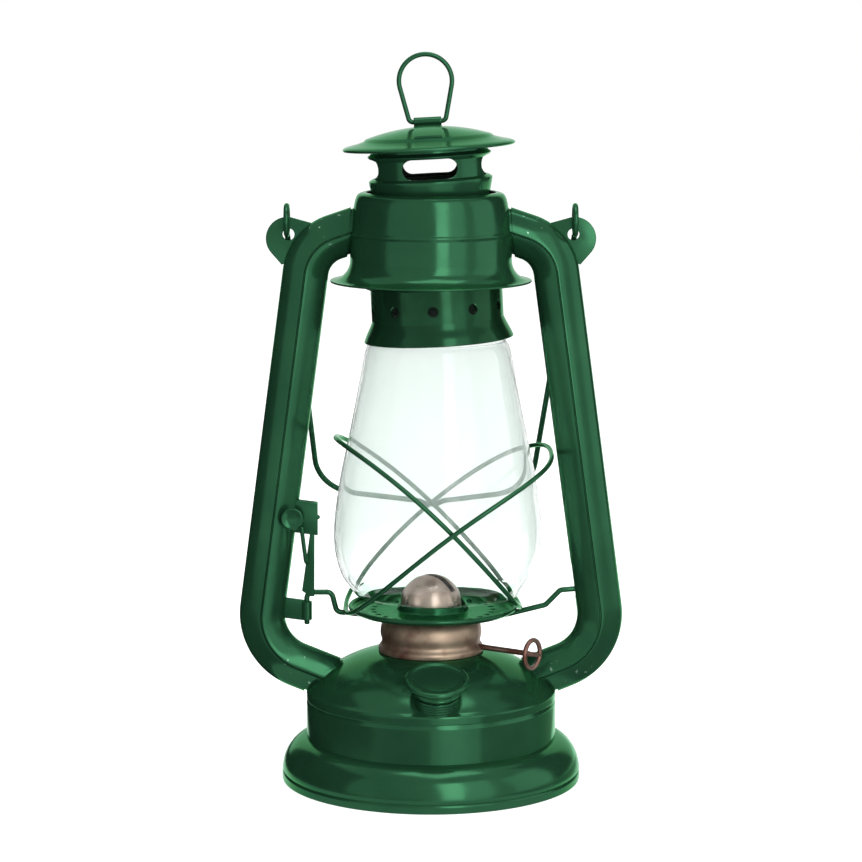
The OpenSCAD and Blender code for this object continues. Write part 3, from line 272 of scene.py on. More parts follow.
def moulded_rubber(_look):
    """Moulded black nitrile rubber: matt, with a fine grain from the mould."""
    material, tree, place = new_material("moulded_nitrile_rubber")
    grain = add_node(tree, "ShaderNodeTexNoise", {"Vector": place, "Scale": 1 / (0.8 * MM), "Detail": 3})
    colour = add_node(tree, "ShaderNodeValToRGB", {"Fac": grain},
        ((0, linear("#141414")), (1, linear("#2a2a29"))))
    bump = add_node(tree, "ShaderNodeBump", {"Height": grain, "Strength": 0.3, "Distance": 0.05 * MM})
    skin = add_node(tree, "ShaderNodeBsdfPrincipled", {"Base Color": colour, "Roughness": 0.7,
        "Normal": bump})
    add_node(tree, "ShaderNodeOutputMaterial", {"Surface": skin})
    return material


def drawn_steel(_look):
    """Drawn spring steel: a grey metal with a light oil bloom."""
    material, tree, place = new_material("drawn_spring_steel")
    bloom = add_node(tree, "ShaderNodeTexNoise", {"Vector": place, "Scale": 1 / (5 * MM), "Detail": 4})
    colour = add_node(tree, "ShaderNodeValToRGB", {"Fac": bloom},
        ((0, linear("#77756f")), (1, linear("#b4b4b0"))))
    rough = add_node(tree, "ShaderNodeMapRange", {"Value": bloom, "To Min": 0.25, "To Max": 0.5})
    skin = add_node(tree, "ShaderNodeBsdfPrincipled", {"Base Color": colour, "Metallic": 1,
        "Roughness": rough})
    add_node(tree, "ShaderNodeOutputMaterial", {"Surface": skin})
    return material


FINISHES = {"green_enamel": stoved_enamel, "painted_shade_enamel": painted_shade_enamel, "inner_painted_shade_enamel": inner_painted_shade_enamel,
    "burner_brass": tarnished_brass, "bleached_brass": bleached_brass, "browned_brass": browned_brass,
    "clear_glass": clear_glass, "cotton_wick": woven_cotton, "rubber_seal": moulded_rubber,
    "spring_steel": drawn_steel}
made_finishes = {}


def finish_of(slot):
    """A finish, made when it is first asked for. Most are named for the record's slots."""
    if slot not in made_finishes:
        made_finishes[slot] = FINISHES[slot](bpy.context.scene.lantern_colours)
    return made_finishes[slot]


# Shapes, in millimetres

def piece(name, points, faces, matrix=None, crease=CREASE):
    """A mesh object from points in millimetres, smooth apart from edges sharper than the crease angle."""
    mesh = bpy.data.meshes.new(name)
    mesh.from_pydata([Vector(p) * MM for p in points], [], faces)
    made = bpy.data.objects.new(name, mesh)
    bpy.context.scene.collection.objects.link(made)
    if matrix is not None:
        move = matrix.copy()
        move.translation = move.translation * MM
        mesh.transform(move)
    tidy_mesh(mesh, crease)
    return made


def tidy_mesh(mesh, crease):
    """Welds points that coincide, turns the faces outwards and sets the shading."""
    weld = 0.0005
    work = bmesh.new()
    work.from_mesh(mesh)
    bmesh.ops.remove_doubles(work, verts=work.verts, dist=weld * MM)
    bmesh.ops.recalc_face_normals(work, faces=work.faces)
    work.to_mesh(mesh)
    work.free()
    smooth(mesh, crease)


def smooth(mesh, crease):
    """Smooth shading apart from edges sharper than the crease angle."""
    mesh.polygons.foreach_set("use_smooth", [True] * len(mesh.polygons))
    mesh.set_sharp_from_angle(angle=radians(crease))


def around(count):
    """Cosines and sines of equal steps round a circle."""
    return [(cos(2 * pi * i / count), sin(2 * pi * i / count)) for i in range(count)]


def toward(heading):
    """Unit step along a heading in degrees."""
    return Vector((cos(radians(heading)), sin(radians(heading))))


def swell(value, power):
    """A power of a cosine or sine that keeps its sign, for ovals with flatter sides."""
    return copysign(abs(value) ** power, value)


def flow(points, steps=6):
    """A smooth line through points."""
    points = [Vector(p) for p in points]
    last = len(points) - 1
    line = []
    for i in range(last):
        a, b, c, d = points[max(i - 1, 0)], points[i], points[i + 1], points[min(i + 2, last)]
        for k in range(steps):
            t = k / steps
            square, cube = (2 * a - 5 * b + 4 * c - d) * t * t, (3 * b - a - 3 * c + d) * t ** 3
            line.append(0.5 * (2 * b + (c - a) * t + square + cube))
    return line + [points[last]]


def arc(middle, rx, rz, start, end, steps):
    """Points of an ellipse between two angles in degrees."""
    turns = [radians(start + (end - start) * i / steps) for i in range(steps + 1)]
    return [Vector((middle[0] + rx * cos(a), middle[1] + rz * sin(a))) for a in turns]


def sheet(path, thickness):
    """Closed outline of bent sheet: an outer path that climbs or runs inwards, its inner face, and rounded
    edges."""
    path = [Vector(p) for p in path]
    last = len(path) - 1
    inner = []
    for i, here in enumerate(path):
        before = (here - path[i - 1]).normalized() if i > 0 else (path[1] - here).normalized()
        after = (path[i + 1] - here).normalized() if i < last else before
        along = (before + after).normalized()
        left = Vector((-along.y, along.x))
        stretch = max(0.5, left.dot(Vector((-before.y, before.x))))
        spot = here + left * thickness / stretch
        inner.append(Vector((max(spot.x, 0), spot.y)))
    end = round_edge(path[last], inner[last], (path[last] - path[last - 1]).normalized())
    start = round_edge(inner[0], path[0], (path[0] - path[1]).normalized())
    return path + end + inner[::-1] + start


def round_edge(a, b, out):
    """The round edge of a sheet between two corners, or nothing where the sheet meets its axis."""
    if a.x < 0.01:
        return []
    middle, reach = (a + b) / 2, (a - b) / 2
    turns = [radians(t) for t in (30, 60, 90, 120, 150)]
    return [middle + reach * cos(t) + out * reach.length * sin(t) for t in turns]


def supported(outline):
    """The outline with a point near each end of its long straight runs, which keeps their shading flat."""
    long_run, inset = 2, 0.3
    line = []
    for a, b in zip(outline, outline[1:] + outline[:1]):
        a, b = Vector(a), Vector(b)
        line.append(a)
        if (b - a).length > long_run:
            step = (b - a).normalized() * inset
            line += [a + step, b - step]
    return line


def lathe(name, outline, matrix=None, segments=160):
    """A round body: a closed outline of radius and height, spun about the upright axis."""
    points, rings, faces = [], [], []
    for radius, height in supported(outline):
        if radius < 0.001:
            rings.append([len(points)] * segments)
            points.append((0, 0, height))
        else:
            rings.append(list(range(len(points), len(points) + segments)))
            points += [(radius * c, radius * s, height) for c, s in around(segments)]
    for low, high in zip(rings, rings[1:] + rings[:1]):
        for i in range(segments):
            j = (i + 1) % segments
            face = list(dict.fromkeys((low[i], low[j], high[j], high[i])))
            if len(face) > 2:
                faces.append(face)
    return piece(name, points, faces, matrix)


def hull(rows, sides, closed=False, first=0):
    """Faces between rows of points, with flat ends where the rows don't close up on themselves."""
    faces = []
    for i in range(rows if closed else rows - 1):
        low, high = first + i * sides, first + (i + 1) % rows * sides
        faces += [(low + k, low + (k + 1) % sides, high + (k + 1) % sides, high + k) for k in range(sides)]
    if not closed:
        last = first + (rows - 1) * sides
        faces += [list(range(first, first + sides)), list(range(last, last + sides))]
    return faces


def sweep(name, path, radius, up, closed=False, sides=18):
    """A round wire along points, with softened ends. up is a direction that the wire never runs along."""
    path = [Vector(p) for p in path]
    count, tip = len(path), 0.45
    rows = []
    for i, here in enumerate(path):
        ahead = path[(i + 1) % count] if closed else path[min(i + 1, count - 1)]
        back = path[i - 1] if closed else path[max(i - 1, 0)]
        rows.append((here, (ahead - back).normalized(), radius))
    if not closed:
        for (here, along, _), sign in ((rows[0], -1), (rows[-1], 1)):
            ends = [(here + sign * along * radius * tip * out, along, radius * wide)
                for out, wide in ((0.5, 0.92), (0.85, 0.7), (1.0, 0.4))]
            rows = ends[::-1] + rows if sign < 0 else rows + ends
    points = []
    for here, along, size in rows:
        side = along.cross(Vector(up)).normalized()
        lift = side.cross(along)
        points += [here + size * (c * side + s * lift) for c, s in around(sides)]
    return piece(name, points, hull(len(rows), sides, closed), crease=60)


def bent(start, heading, steps):
    """Points along a bent wire in its own plane: each step is a run, a bend radius and a turn in degrees."""
    spot, points = Vector(start), [Vector(start)]
    for run, radius, turn in steps:
        if run > 0:
            spot = spot + run * toward(heading)
            points.append(spot)
        parts = ceil(abs(turn) / 5)
        for _ in range(parts):
            step = turn / parts
            heading += step / 2
            spot = spot + 2 * radius * sin(radians(abs(step) / 2)) * toward(heading)
            heading += step / 2
            points.append(spot)
    return points


def turned(radius, start, end):
    """Step across a bend between two headings; a right-hand bend has a negative radius."""
    a, b = radians(start), radians(end)
    return radius * Vector((sin(b) - sin(a), cos(a) - cos(b)))


def two_runs(rest, first, second):
    """Lengths along two headings that add up to a step."""
    a, b = radians(first), radians(second)
    scale = sin(b - a)
    return (rest.x * sin(b) - rest.y * cos(b)) / scale, (rest.y * cos(a) - rest.x * sin(a)) / scale


def upright(points, depth=0.0):
    """Plane points set up in the lantern's front plane."""
    return [Vector((p[0], depth, p[1])) for p in points]


def flipped(points):
    """Plane points on the other side of the middle."""
    return [Vector((-p.x, p.y)) for p in points]


def plate(name, outline, front, back, bevel=0.25, matrix=None):
    """Flat sheet cut to an outline seen from the front, between two depths, with softened edges."""
    count = len(outline)
    points = upright(outline, front) + upright(outline, back)
    faces = [list(range(count)), list(range(2 * count - 1, count - 1, -1))]
    faces += [(i, i + count, (i + 1) % count + count, (i + 1) % count) for i in range(count)]
    made = piece(name, points, faces, matrix)
    if bevel == 0:
        return made
    work = bmesh.new()
    work.from_mesh(made.data)
    rims = [e for e in work.edges
        if len(e.link_faces) == 2 and any(len(f.verts) == count for f in e.link_faces)]
    bmesh.ops.bevel(work, geom=rims, offset=bevel * MM, segments=3, profile=0.6, affect="EDGES")
    work.to_mesh(made.data)
    work.free()
    tidy_mesh(made.data, 50)
    return made


def rods(name, ends, radius, sides=40):
    """Straight rods from point to point, as one cutter."""
    points, faces = [], []
    for a, b in ends:
        along = (b - a).normalized()
        side = along.orthogonal().normalized()
        lift = along.cross(side)
        faces += hull(2, sides, first=len(points))
        points += [end + radius * (c * side + s * lift) for end in (a, b) for c, s in around(sides)]
    return piece(name, points, faces)


def carve(made, cutters, operation):
    """Cuts solids out of a mesh object, or keeps what lies in them, and takes them away."""
    for cutter in cutters:
        rule = made.modifiers.new("cut", "BOOLEAN")
        rule.operation = operation
        rule.solver = "EXACT"
        rule.object = cutter
    bpy.context.view_layer.update()
    graph = bpy.context.evaluated_depsgraph_get()
    left_over = bpy.data.meshes.new_from_object(made.evaluated_get(graph))
    made.modifiers.clear()
    made.data = left_over
    for cutter in cutters:
        bpy.data.objects.remove(cutter)
    if not left_over.polygons:
        raise RuntimeError(made.name + " was cut away")
    return made


def cut(made, *cutters):
    """Cuts other solids out of a piece, and takes them away."""
    tidy_mesh(carve(made, cutters, "DIFFERENCE").data, CREASE)
    return made


def join(made, *others):
    """Adds other pieces' meshes to a piece, and takes them away."""
    work = bmesh.new()
    for one in (made, *others):
        work.from_mesh(one.data)
    work.to_mesh(made.data)
    work.free()
    for one in others:
        bpy.data.objects.remove(one)
    smooth(made.data, 45)
    return made


def fit(made, body, slot, *nodes, finish=None):
    """Gives a piece the finish of its slot or another, seats it on a body and lets it stand for the solids
    that it shows."""
    made.data.materials.clear()
    made.data.materials.append(finish_of(finish or slot))
    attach(made, body)
    if nodes:
        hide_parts(*nodes)
    return made


def inner_painted_shade(made, lean):
    """Gives the faces of a round piece that look at its axis the darker inner finish, painted shade for the
    dim inside.
    """
    made.data.materials.append(finish_of("inner_painted_shade_enamel"))
    inward = -0.2
    back = lean.inverted()
    for face in made.data.polygons:
        out = back @ (face.center / MM)
        facing = back.to_3x3() @ face.normal
        if facing.x * out.x + facing.y * out.y < inward * hypot(out.x, out.y):
            face.material_index = 1


# What a user would change

LENGTH = {"precision": 4, "subtype": "DISTANCE", "unit": "LENGTH"}
COLOUR = {"size": 3, "min": 0, "max": 1, "subtype": "COLOR"}
POWER = {"min": 0, "subtype": "POWER", "unit": "POWER"}


class LanternSizes(bpy.types.PropertyGroup):
    """Stock sizes that the visible pieces are made from."""
    sheet: FloatProperty(name="Painted sheet", description="Thickness of the painted sheet",
        default=0.0008, min=0.0004, max=0.0012, **LENGTH)
    brass: FloatProperty(name="Brass sheet", description="Thickness of the burner's brass",
        default=0.0006, min=0.0003, max=0.0008, **LENGTH)
    glass: FloatProperty(name="Glass wall",
        description="Wall of the glass globe as it shows, thinner than its solid",
        default=0.0011, min=0.001, max=0.0025, **LENGTH)
    guard_wire: FloatProperty(name="Guard wire", description="Diameter of the guard's wire",
        default=0.002, min=0.0015, max=0.0022, **LENGTH)
    arm_wire: FloatProperty(name="Lift arm wire", description="Diameter of the lift arms' wire",
        default=0.0023, min=0.0015, max=0.0025, **LENGTH)
    bail_wire: FloatProperty(name="Bail wire", description="Diameter of the bail's wire",
        default=0.0024, min=0.0015, max=0.0025, **LENGTH)
    ring_wire: FloatProperty(name="Ring wire", description="Diameter of the lift ring's wire",
        default=0.002, min=0.0015, max=0.0022, **LENGTH)
    spring_wire: FloatProperty(name="Spring wire", description="Diameter of the chimney spring's wire",
        default=0.0016, min=0.0008, max=0.0018, **LENGTH)


class LanternColours(bpy.types.PropertyGroup):
    """Colours and gloss of the finishes."""
    enamel_dark: FloatVectorProperty(name="Enamel, deep", description="Enamel where it lies thick",
        default=linear("#204530")[:3], **COLOUR)
    enamel_light: FloatVectorProperty(name="Enamel, thin", description="Enamel where it lies thin",
        default=linear("#275037")[:3], **COLOUR)
    # Painted shade: the collar and the filler's neck take this darker enamel for the shade under the hood and
    # the cap
    enamel_painted_shade: FloatVectorProperty(name="Enamel, dulled",
        description="Enamel darkened by heat or spilt fuel",
        default=linear("#16311f")[:3], **COLOUR)
    enamel_gloss: FloatVectorProperty(name="Enamel gloss", description="Tint of what the enamel reflects",
        default=(0.26, 1.0, 0.46), **COLOUR)
    enamel_metal: FloatProperty(name="Enamel tinted gloss",
        description="Share of the gloss that takes the paint's colour",
        default=0.55, min=0, max=1, subtype="FACTOR")
    enamel_rough: FloatProperty(name="Enamel roughness", description="Roughness of the enamel",
        default=0.17, min=0.08, max=0.6, subtype="FACTOR")
    brass: FloatVectorProperty(name="Brass", description="Bare rose brass",
        default=linear("#968472")[:3], **COLOUR)
    brass_stain: FloatVectorProperty(name="Brass stain", description="Maroon stains on the brass",
        default=linear("#5c3c33")[:3], **COLOUR)
    flame_dome: FloatVectorProperty(name="Flame dome", description="Heat-bleached brass of the flame dome",
        default=linear("#a28d85")[:3], **COLOUR)
    knob: FloatVectorProperty(name="Knob", description="Browned brass of the knob and shaft",
        default=linear("#8d7469")[:3], **COLOUR)
    # Painted shade: the inner faces of the chimney, collar and hood take this darker colour for the dim
    # inside
    inner_painted_shade: FloatVectorProperty(name="Sooted enamel", description="Enamel inside the chimney",
        default=linear("#16291d")[:3], **COLOUR)
    glass: FloatVectorProperty(name="Glass", description="Tint of the glass",
        default=linear("#f6fbf9")[:3], **COLOUR)
    haze: FloatProperty(name="Glass bloom", description="Share of the glass that the pale bloom covers",
        default=0.14, min=0, max=0.5, subtype="FACTOR")
    cotton: FloatVectorProperty(name="Wick", description="Clean cotton of the wick",
        default=linear("#e6ddca")[:3], **COLOUR)
    cotton_shade: FloatVectorProperty(name="Wick shade", description="Cotton between the wick's ribs",
        default=linear("#b5a88e")[:3], **COLOUR)


class LanternStudio(bpy.types.PropertyGroup):
    """Light and camera."""
    key: FloatProperty(name="Key light", description="Power of the tall soft light on the right",
        default=12.5, **POWER)
    front: FloatProperty(name="Front light", description="Power of the wide light beside the key light",
        default=5, **POWER)
    fill: FloatProperty(name="Fill light", description="Power of the soft light on the left",
        default=4.5, **POWER)
    side: FloatProperty(name="Side light", description="Power of the weak light on the right",
        default=4.4, **POWER)
    top: FloatProperty(name="Top light", description="Power of the soft light overhead",
        default=9, **POWER)
    sky: FloatProperty(name="Room light", description="Strength of the white room on matt surfaces",
        default=0.5, min=0, max=1, subtype="FACTOR")
    lens: FloatProperty(name="Lens", description="Focal length of the camera",
        default=0.12738, min=0.01, subtype="DISTANCE", unit="CAMERA")


# Pieces

class LANTERN_OT_tank(bpy.types.Operator):
    """Tank: a flared foot with a rolled hem, a straight wall and a domed top whose skirt laps over it"""
    bl_idname = "lantern.tank"
    bl_label = "Tank"

    def execute(self, context):
        thick = context.scene.lantern_sizes.sheet / MM
        hem = [(63.55, 0.1), (63.88, 0.25), (63.99, 0.65), (63.99, 2.9), (63.85, 3.5), (63.45, 3.9),
            (63.6, 4.3)]
        flare = arc((52, 4), 12, 14.4, 4, 82.8, 22)
        wall = [(TANK_R, 19.4), (TANK_R, 26), (TANK_R, 33.2), (53.3, 33.9), (52.65, 34.9), (52.65, 36.8)]
        body = lathe("tank_foot_and_wall", sheet(hem + flare + wall, thick))
        fit(body, "frame", "green_enamel", "tank_base")
        top = lathe("tank_domed_top", sheet(dome_line(), thick))
        neck = FILLER @ Vector((0, 0, -26)), FILLER @ Vector((0, 0, 1))
        fit(cut(top, rods("neck_hole", [neck], NECK_R + 0.05)), "frame", "green_enamel", "tank_dome")
        return {"FINISHED"}


def dome_line(grow=0.0):
    """Outer line of the tank's domed top, from its skirt to its mouth, grown by a gap."""
    steps, bulge = 24, 12
    low, high = Vector((52.7, 39)), Vector((23.1, DOME_Z))
    out = Vector((high.y - low.y, low.x - high.x)).normalized()
    skirt = [Vector(p) for p in ((TANK_R, 35.45), (TANK_R, 37.9), (53.36, 38.5), (53.1, 38.8))]
    crown = [low + (high - low) * i / steps + out * bulge * (i / steps) * (1 - i / steps)
        for i in range(steps + 1)]
    return [Vector((p.x + grow, p.y + grow)) for p in skirt + crown + [Vector((20.4, DOME_Z))]]


class LANTERN_OT_filler(bpy.types.Operator):
    """Filler: a screw cap with a dished top and a rolled rim, and the neck that carries it"""
    bl_idname = "lantern.filler"
    bl_label = "Filler"

    def execute(self, context):
        top = [(0, -0.9), (8.6, -0.9), (10.2, -0.84), (10.9, -0.55), (11.5, -0.12), (12, 0), (12.6, -0.08),
            (13.05, -0.35), (13.27, -0.75), (13.3, -1.15), (13.2, -1.6), (12.9, -2.0), (12.4, -2.2)]
        skirt = [(11.2, -2.2), (10.85, -2.35), (10.7, -2.7), (10.6, -3.7), (10.25, -4.05), (10.55, -4.4),
            (10.5, -4.9), (10.15, -5.25), (10.45, -5.6), (10.32, -6.2), (10.1, -6.4), (9.4, -6.4),
            (9.15, -6.2), (9.15, -2.2), (0, -2.2)]
        fit(lathe("filler_screw_cap", top + skirt, FILLER), "filler_cap", "green_enamel", "filler_cap")
        # Rolled thread under the cap, and rolled rings on the collar below it
        rim, bore_r, collar_r = -3.4, 7.8, 10
        neck = [(8.6, rim), (NECK_R, -3.6)]
        for z in (0, 0.9, 1.8, 2.7):
            neck += [(NECK_R, -4.0 - z), (8.65, -4.3 - z), (NECK_R, -4.6 - z)]
        neck += [(NECK_R, -7.4), (9.7, -7.4), (collar_r, -7.7), (collar_r, -8.2)]
        for z in (0, 1.2, 2.4, 3.6):
            neck += [(9.86, -8.55 - z), (collar_r, -8.9 - z), (collar_r, -9.4 - z)]
        neck += [(collar_r, -19.5), (NECK_R, -19.5), (NECK_R, -33), (bore_r, -33), (bore_r, rim)]
        made = lathe("filler_neck_pipe", neck, FILLER)
        # The collar ends on the dome, so what would be under the dome is cut off
        room = lathe("dome_room", [(0, 30), (53.55, 30)] + dome_line(0.05) + [(0, DOME_Z)])
        under = lathe("collar_room", [(8.82, -34), (12, -34), (12, -5), (8.82, -5)], FILLER)
        made = cut(made, carve(under, [room], "INTERSECT"))
        # The neck's darker enamel is painted shade under the cap
        fit(made, "frame", "green_enamel", "filler_neck", finish="painted_shade_enamel")
        return {"FINISHED"}


class LANTERN_OT_burner(bpy.types.Operator):
    """Burner: a waisted brass barrel, a slotted flame dome, a flat wick and its shaft with a ring knob"""
    bl_idname = "lantern.burner"
    bl_label = "Burner"

    def execute(self, context):
        brass = context.scene.lantern_sizes.brass / MM
        yaw = Matrix.Rotation(radians(-34), 4, "Z")
        shaft = yaw @ Matrix.Translation((0, 7.2, 58)) @ Matrix.Rotation(radians(90), 4, "Y")
        barrel = flow([(22.5, 55.8), (22.4, 57.45), (21.1, 59.85), (21.7, 63.45), (21.2, 67.05),
            (19.7, 69.65), (17.2, 71.05)], 5)
        body = lathe("burner_barrel", sheet(barrel + [(13.4, 71.05)], brass))
        hole = shaft @ Vector((0, 0, 0)), shaft @ Vector((0, 0, 40))
        fit(cut(body, rods("shaft_hole", [hole], 1.26)), "frame", "burner_brass", "burner_base")
        dome = [(13, 70.75), (13, 72), (13, 74.4)] + arc((0, 76.05), 13, 12.4, 4, 90, 20)
        hood = lathe("flame_dome", sheet(dome, brass))
        opening = [(-11.5, 79.65), (11.5, 79.65), (11.5, 92), (-11.5, 92)]
        slot = plate("flame_slot", opening, -1.8, 1.8, 0, yaw)
        fit(cut(hood, slot), "frame", "burner_brass", "burner_dome", finish="bleached_brass")
        rod = sweep("wick_spindle_rod", [shaft @ Vector((0, 0, z)) for z in (-8.4, 0, 20, 45.2)], 1.2, UP)
        fit(rod, "wick_spindle", "burner_brass", "wick_shaft", finish="browned_brass")
        fit(ring_knob(shaft), "wick_spindle", "burner_brass", "wick_knob", finish="browned_brass")
        fit(wick_ribbon(yaw), "wick", "cotton_wick", "wick")
        return {"FINISHED"}


def ring_knob(shaft):
    """The knob: a wire ring at the end of the shaft, with a bar across it."""
    reach, ring_r, wire_r = 46.8, 6, 1
    along = shaft.to_3x3() @ UP
    ring = [shaft @ Vector((ring_r * c, ring_r * s, reach)) for c, s in around(64)]
    knob = sweep("wick_ring_knob", ring, wire_r, along, True)
    turn = Vector((*toward(77), 0))
    bar = [shaft @ (turn * x + Vector((0, 0, reach))) for x in (-5.6, 0, 5.6)]
    return join(knob, sweep("knob_bar", bar, wire_r, along))


def wick_ribbon(turn):
    """The wick: a flat ribbed ribbon with rounded edges and a top burnt slightly uneven."""
    rows, low_z, tall = 60, 17, 66.2
    half_wide, half_thick, edge, rib = 7.75, 1.18, 0.35, 5.2
    ring, points = [], []
    for c, s in around(72):
        x = half_wide * swell(c, edge)
        ring.append((x, half_thick * swell(s, edge) * (1 + 0.06 * cos(x * rib))))
    for i in range(rows):
        z = low_z + tall * i / (rows - 1)
        for x, y in ring:
            burnt = 0.35 * sin(1.3 * x + 0.4) + 0.25 * sin(3.1 * x) - 0.6 if i == rows - 1 else 0
            points.append((x, y, z + burnt))
    return piece("flat_cotton_wick", points, hull(rows, len(ring)), turn)


class LANTERN_OT_tubes(bpy.types.Operator):
    """Side tubes: sheet tubes of two round lobes with a sunk seam, and ears for the bail"""
    bl_idname = "lantern.tubes"
    bl_label = "Side tubes"

    def execute(self, context):
        line = tube_line()
        for name, side, node in (("left_side_tube", -1, "left_tube"), ("right_side_tube", 1, "right_tube")):
            outer = cut(tube(name, side, line), *tube_rooms(1.1))
            if side > 0:
                outer = cut(outer, plate("arm_slot", rounded_box(57.5, 79, 66.5, 93.5, 1.4), -1.5, 1.5, 0))
            # A narrower end of the tube runs on into the dome and the hood
            ends = [cut(tube("tube_end", side, run, 0.92), *tube_rooms(0.03))
                for run in (line[:2], line[-2:])]
            fit(join(outer, *ends), "frame", "green_enamel", node)
        for name, side, node in (("left_ear", -1, "left_bail_ear"), ("right_ear", 1, "right_bail_ear")):
            fit(bail_ear(name, side), "frame", "green_enamel", node)
        return {"FINISHED"}


def rounded_box(x0, z0, x1, z1, radius):
    """Outline of a box with round corners."""
    line = []
    for x, z, start in ((x1, z1, 0), (x0, z1, 90), (x0, z0, 180), (x1, z0, 270)):
        middle = (x + radius * (1 if x == x0 else -1), z + radius * (1 if z == z0 else -1))
        line += arc(middle, radius, radius, start, start + 90, 6)
    return line


def tube_rooms(grow):
    """Cutters of the dome and the hood, grown by the gap that the tubes keep from them."""
    wall = [(0, 30), (TANK_R + grow, 30), (TANK_R + grow, 35)]
    dome = lathe("dome_room", wall + dome_line(grow) + [(0, DOME_Z + grow)])
    return dome, lathe("hood_room", [(0, 214)] + hood_line(grow) + [(0, 252.4)])


def tube_line():
    """Middle line of a side tube, from inside the dome round two bends into the hood."""
    corners = [Vector(p) for p in ((31.4, 38.5), (74.6, 56), (51.46, 229.4), (16.4, 241.3))]
    steps = 26
    line = [corners[0]]
    for before, here, after, radius in ((*corners[:3], 24), (*corners[1:], 18)):
        come = (here - before).normalized()
        turn = come.angle((after - here).normalized())
        reach = radius * tan(turn / 2)
        first = here - come * reach
        middle = first + Vector((-come.y, come.x)) * radius
        spoke = first - middle
        for i in range(steps + 1):
            c, s = cos(turn * i / steps), sin(turn * i / steps)
            line.append(middle + Vector((spoke.x * c - spoke.y * s, spoke.x * s + spoke.y * c)))
    return line + [corners[3]]


def tube(name, side, line, shrink=1.0):
    """A tube along a line: two round lobes that meet in a sunk seam, front and back."""
    lobe = flow([(9.7, 0), (9.3, 2.1), (8.1, 4), (6.2, 5.55), (3.8, 6.95), (1.6, 7.9), (0.45, 8.15)], 3)
    half = lobe + [Vector((0.1, 7.2)), Vector((-0.1, 7.2))] + flipped(lobe[:0:-1])
    section = [p * shrink for p in half + [-p for p in half]]
    points = []
    for i, here in enumerate(line):
        along = (line[min(i + 1, len(line) - 1)] - line[max(i - 1, 0)]).normalized()
        out = Vector((along.y, -along.x))
        points += [(side * (here.x + out.x * p.x), p.y, here.y + out.y * p.x) for p in section]
    return piece(name, points, hull(len(line), len(section)))


def bail_ear(name, side):
    """A flat ear with a hole, spot-welded to the tube's shoulder."""
    tip = Vector((60.4, 232.4))
    line = [tip + Vector((2.6, -11))] + arc(tip, 9.2, 9.2, -42, 96, 24)
    line += [tip + Vector((-10.5, 6.5)), tip + Vector((-10.5, -6))]
    made = plate(name, [(side * p.x, p.y) for p in line], -0.6, 0.6)
    hole = Vector((side * 60, -3, 234.2)), Vector((side * 60, 3, 234.2))
    return cut(made, rods("ear_hole", [hole], 2.5))


class LANTERN_OT_bail(bpy.types.Operator):
    """Bail: one bent wire with an eye in each ear, splayed legs and a grip with a dip in its middle"""
    bl_idname = "lantern.bail"
    bl_label = "Bail"

    def execute(self, context):
        radius = context.scene.lantern_sizes.bail_wire / MM / 2
        length, eye_x, eye_r = 141, 60.7, 6
        hang = Matrix.Translation((0, 0, 240.2)) @ Matrix.Rotation(radians(22.4), 4, "X")
        left, right = [bail_half(splay, eye_x, length - eye_r) for splay in (4.9, 7.4)]
        line = flipped(left[::-1]) + right[1:]
        wire = [hang @ Vector((p.x, 0, p.y - length)) for p in line]
        made = sweep("wire_bail", wire, radius, hang.to_3x3() @ DEPTH)
        eyes = []
        for x in (-eye_x, eye_x):
            ring = [hang @ Vector((x, eye_r * c, eye_r * s)) for c, s in around(56)]
            eyes.append(sweep("bail_eye", ring, radius, (1, 0, 0), True))
        fit(join(made, *eyes), "bail", "green_enamel", "bail_handle")
        return {"FINISHED"}


def bail_half(splay, reach, rise):
    """Half of the bail in its own plane, from the middle of the grip to the foot of an eye."""
    dip_turn, dip_r, grip, corner_r, up = 32, 6, 8, 19, 90 - splay
    level, slope = 0.8, 0.4
    bends = turned(dip_r, 0, dip_turn) + turned(-dip_r, dip_turn, grip) + turned(corner_r, grip, up)
    straights = Vector((level, 0)) + slope * toward(dip_turn)
    runs = two_runs(Vector((reach, rise)) - bends - straights, grip, up)
    return bent((0, 0), 0, [(level, dip_r, dip_turn), (slope, dip_r, grip - dip_turn),
        (runs[0], corner_r, up - grip), (runs[1], 1, 0)])


def hood_line(grow=0.0):
    """Outer line of the hood, from its flared lip past its bead to the hole in its top, grown by a gap."""
    cove = arc((42.5, 223.3), 8.3, 8.3, 264, 180, 16)
    bead = [Vector(p) for p in ((34.2, 229), (34.1, 233.7), (34.5, 234.3), (34.62, 234.8), (34.5, 235.3),
        (34, 235.9))]
    crown = flow([(32.8, 244.4), (32, 248.6), (30.8, 251.1), (28.8, 252)], 5)
    line = [Vector((42.2, 215.05))] + cove + bead + crown + [Vector((27.4, 252))]
    return [Vector((p.x + grow, p.y)) for p in line]


class LANTERN_OT_hood(bpy.types.Operator):
    """Hood: a spun drum with a flared lip, a bead round its middle and a hole for the chimney"""
    bl_idname = "lantern.hood"
    bl_label = "Hood"

    def execute(self, context):
        made = lathe("spun_hood", sheet(hood_line(), context.scene.lantern_sizes.sheet / MM))
        # The hood's inner faces get painted shade
        inner_painted_shade(fit(made, "frame", "green_enamel", "hood"), Matrix.Identity(4))
        return {"FINISHED"}


def cap_crown(radius):
    """Height of the chimney cap's crown at a radius."""
    edge_z, rise = 275.4, 4.2
    return edge_z + rise * (1 - (radius / CROWN_R) ** 2)


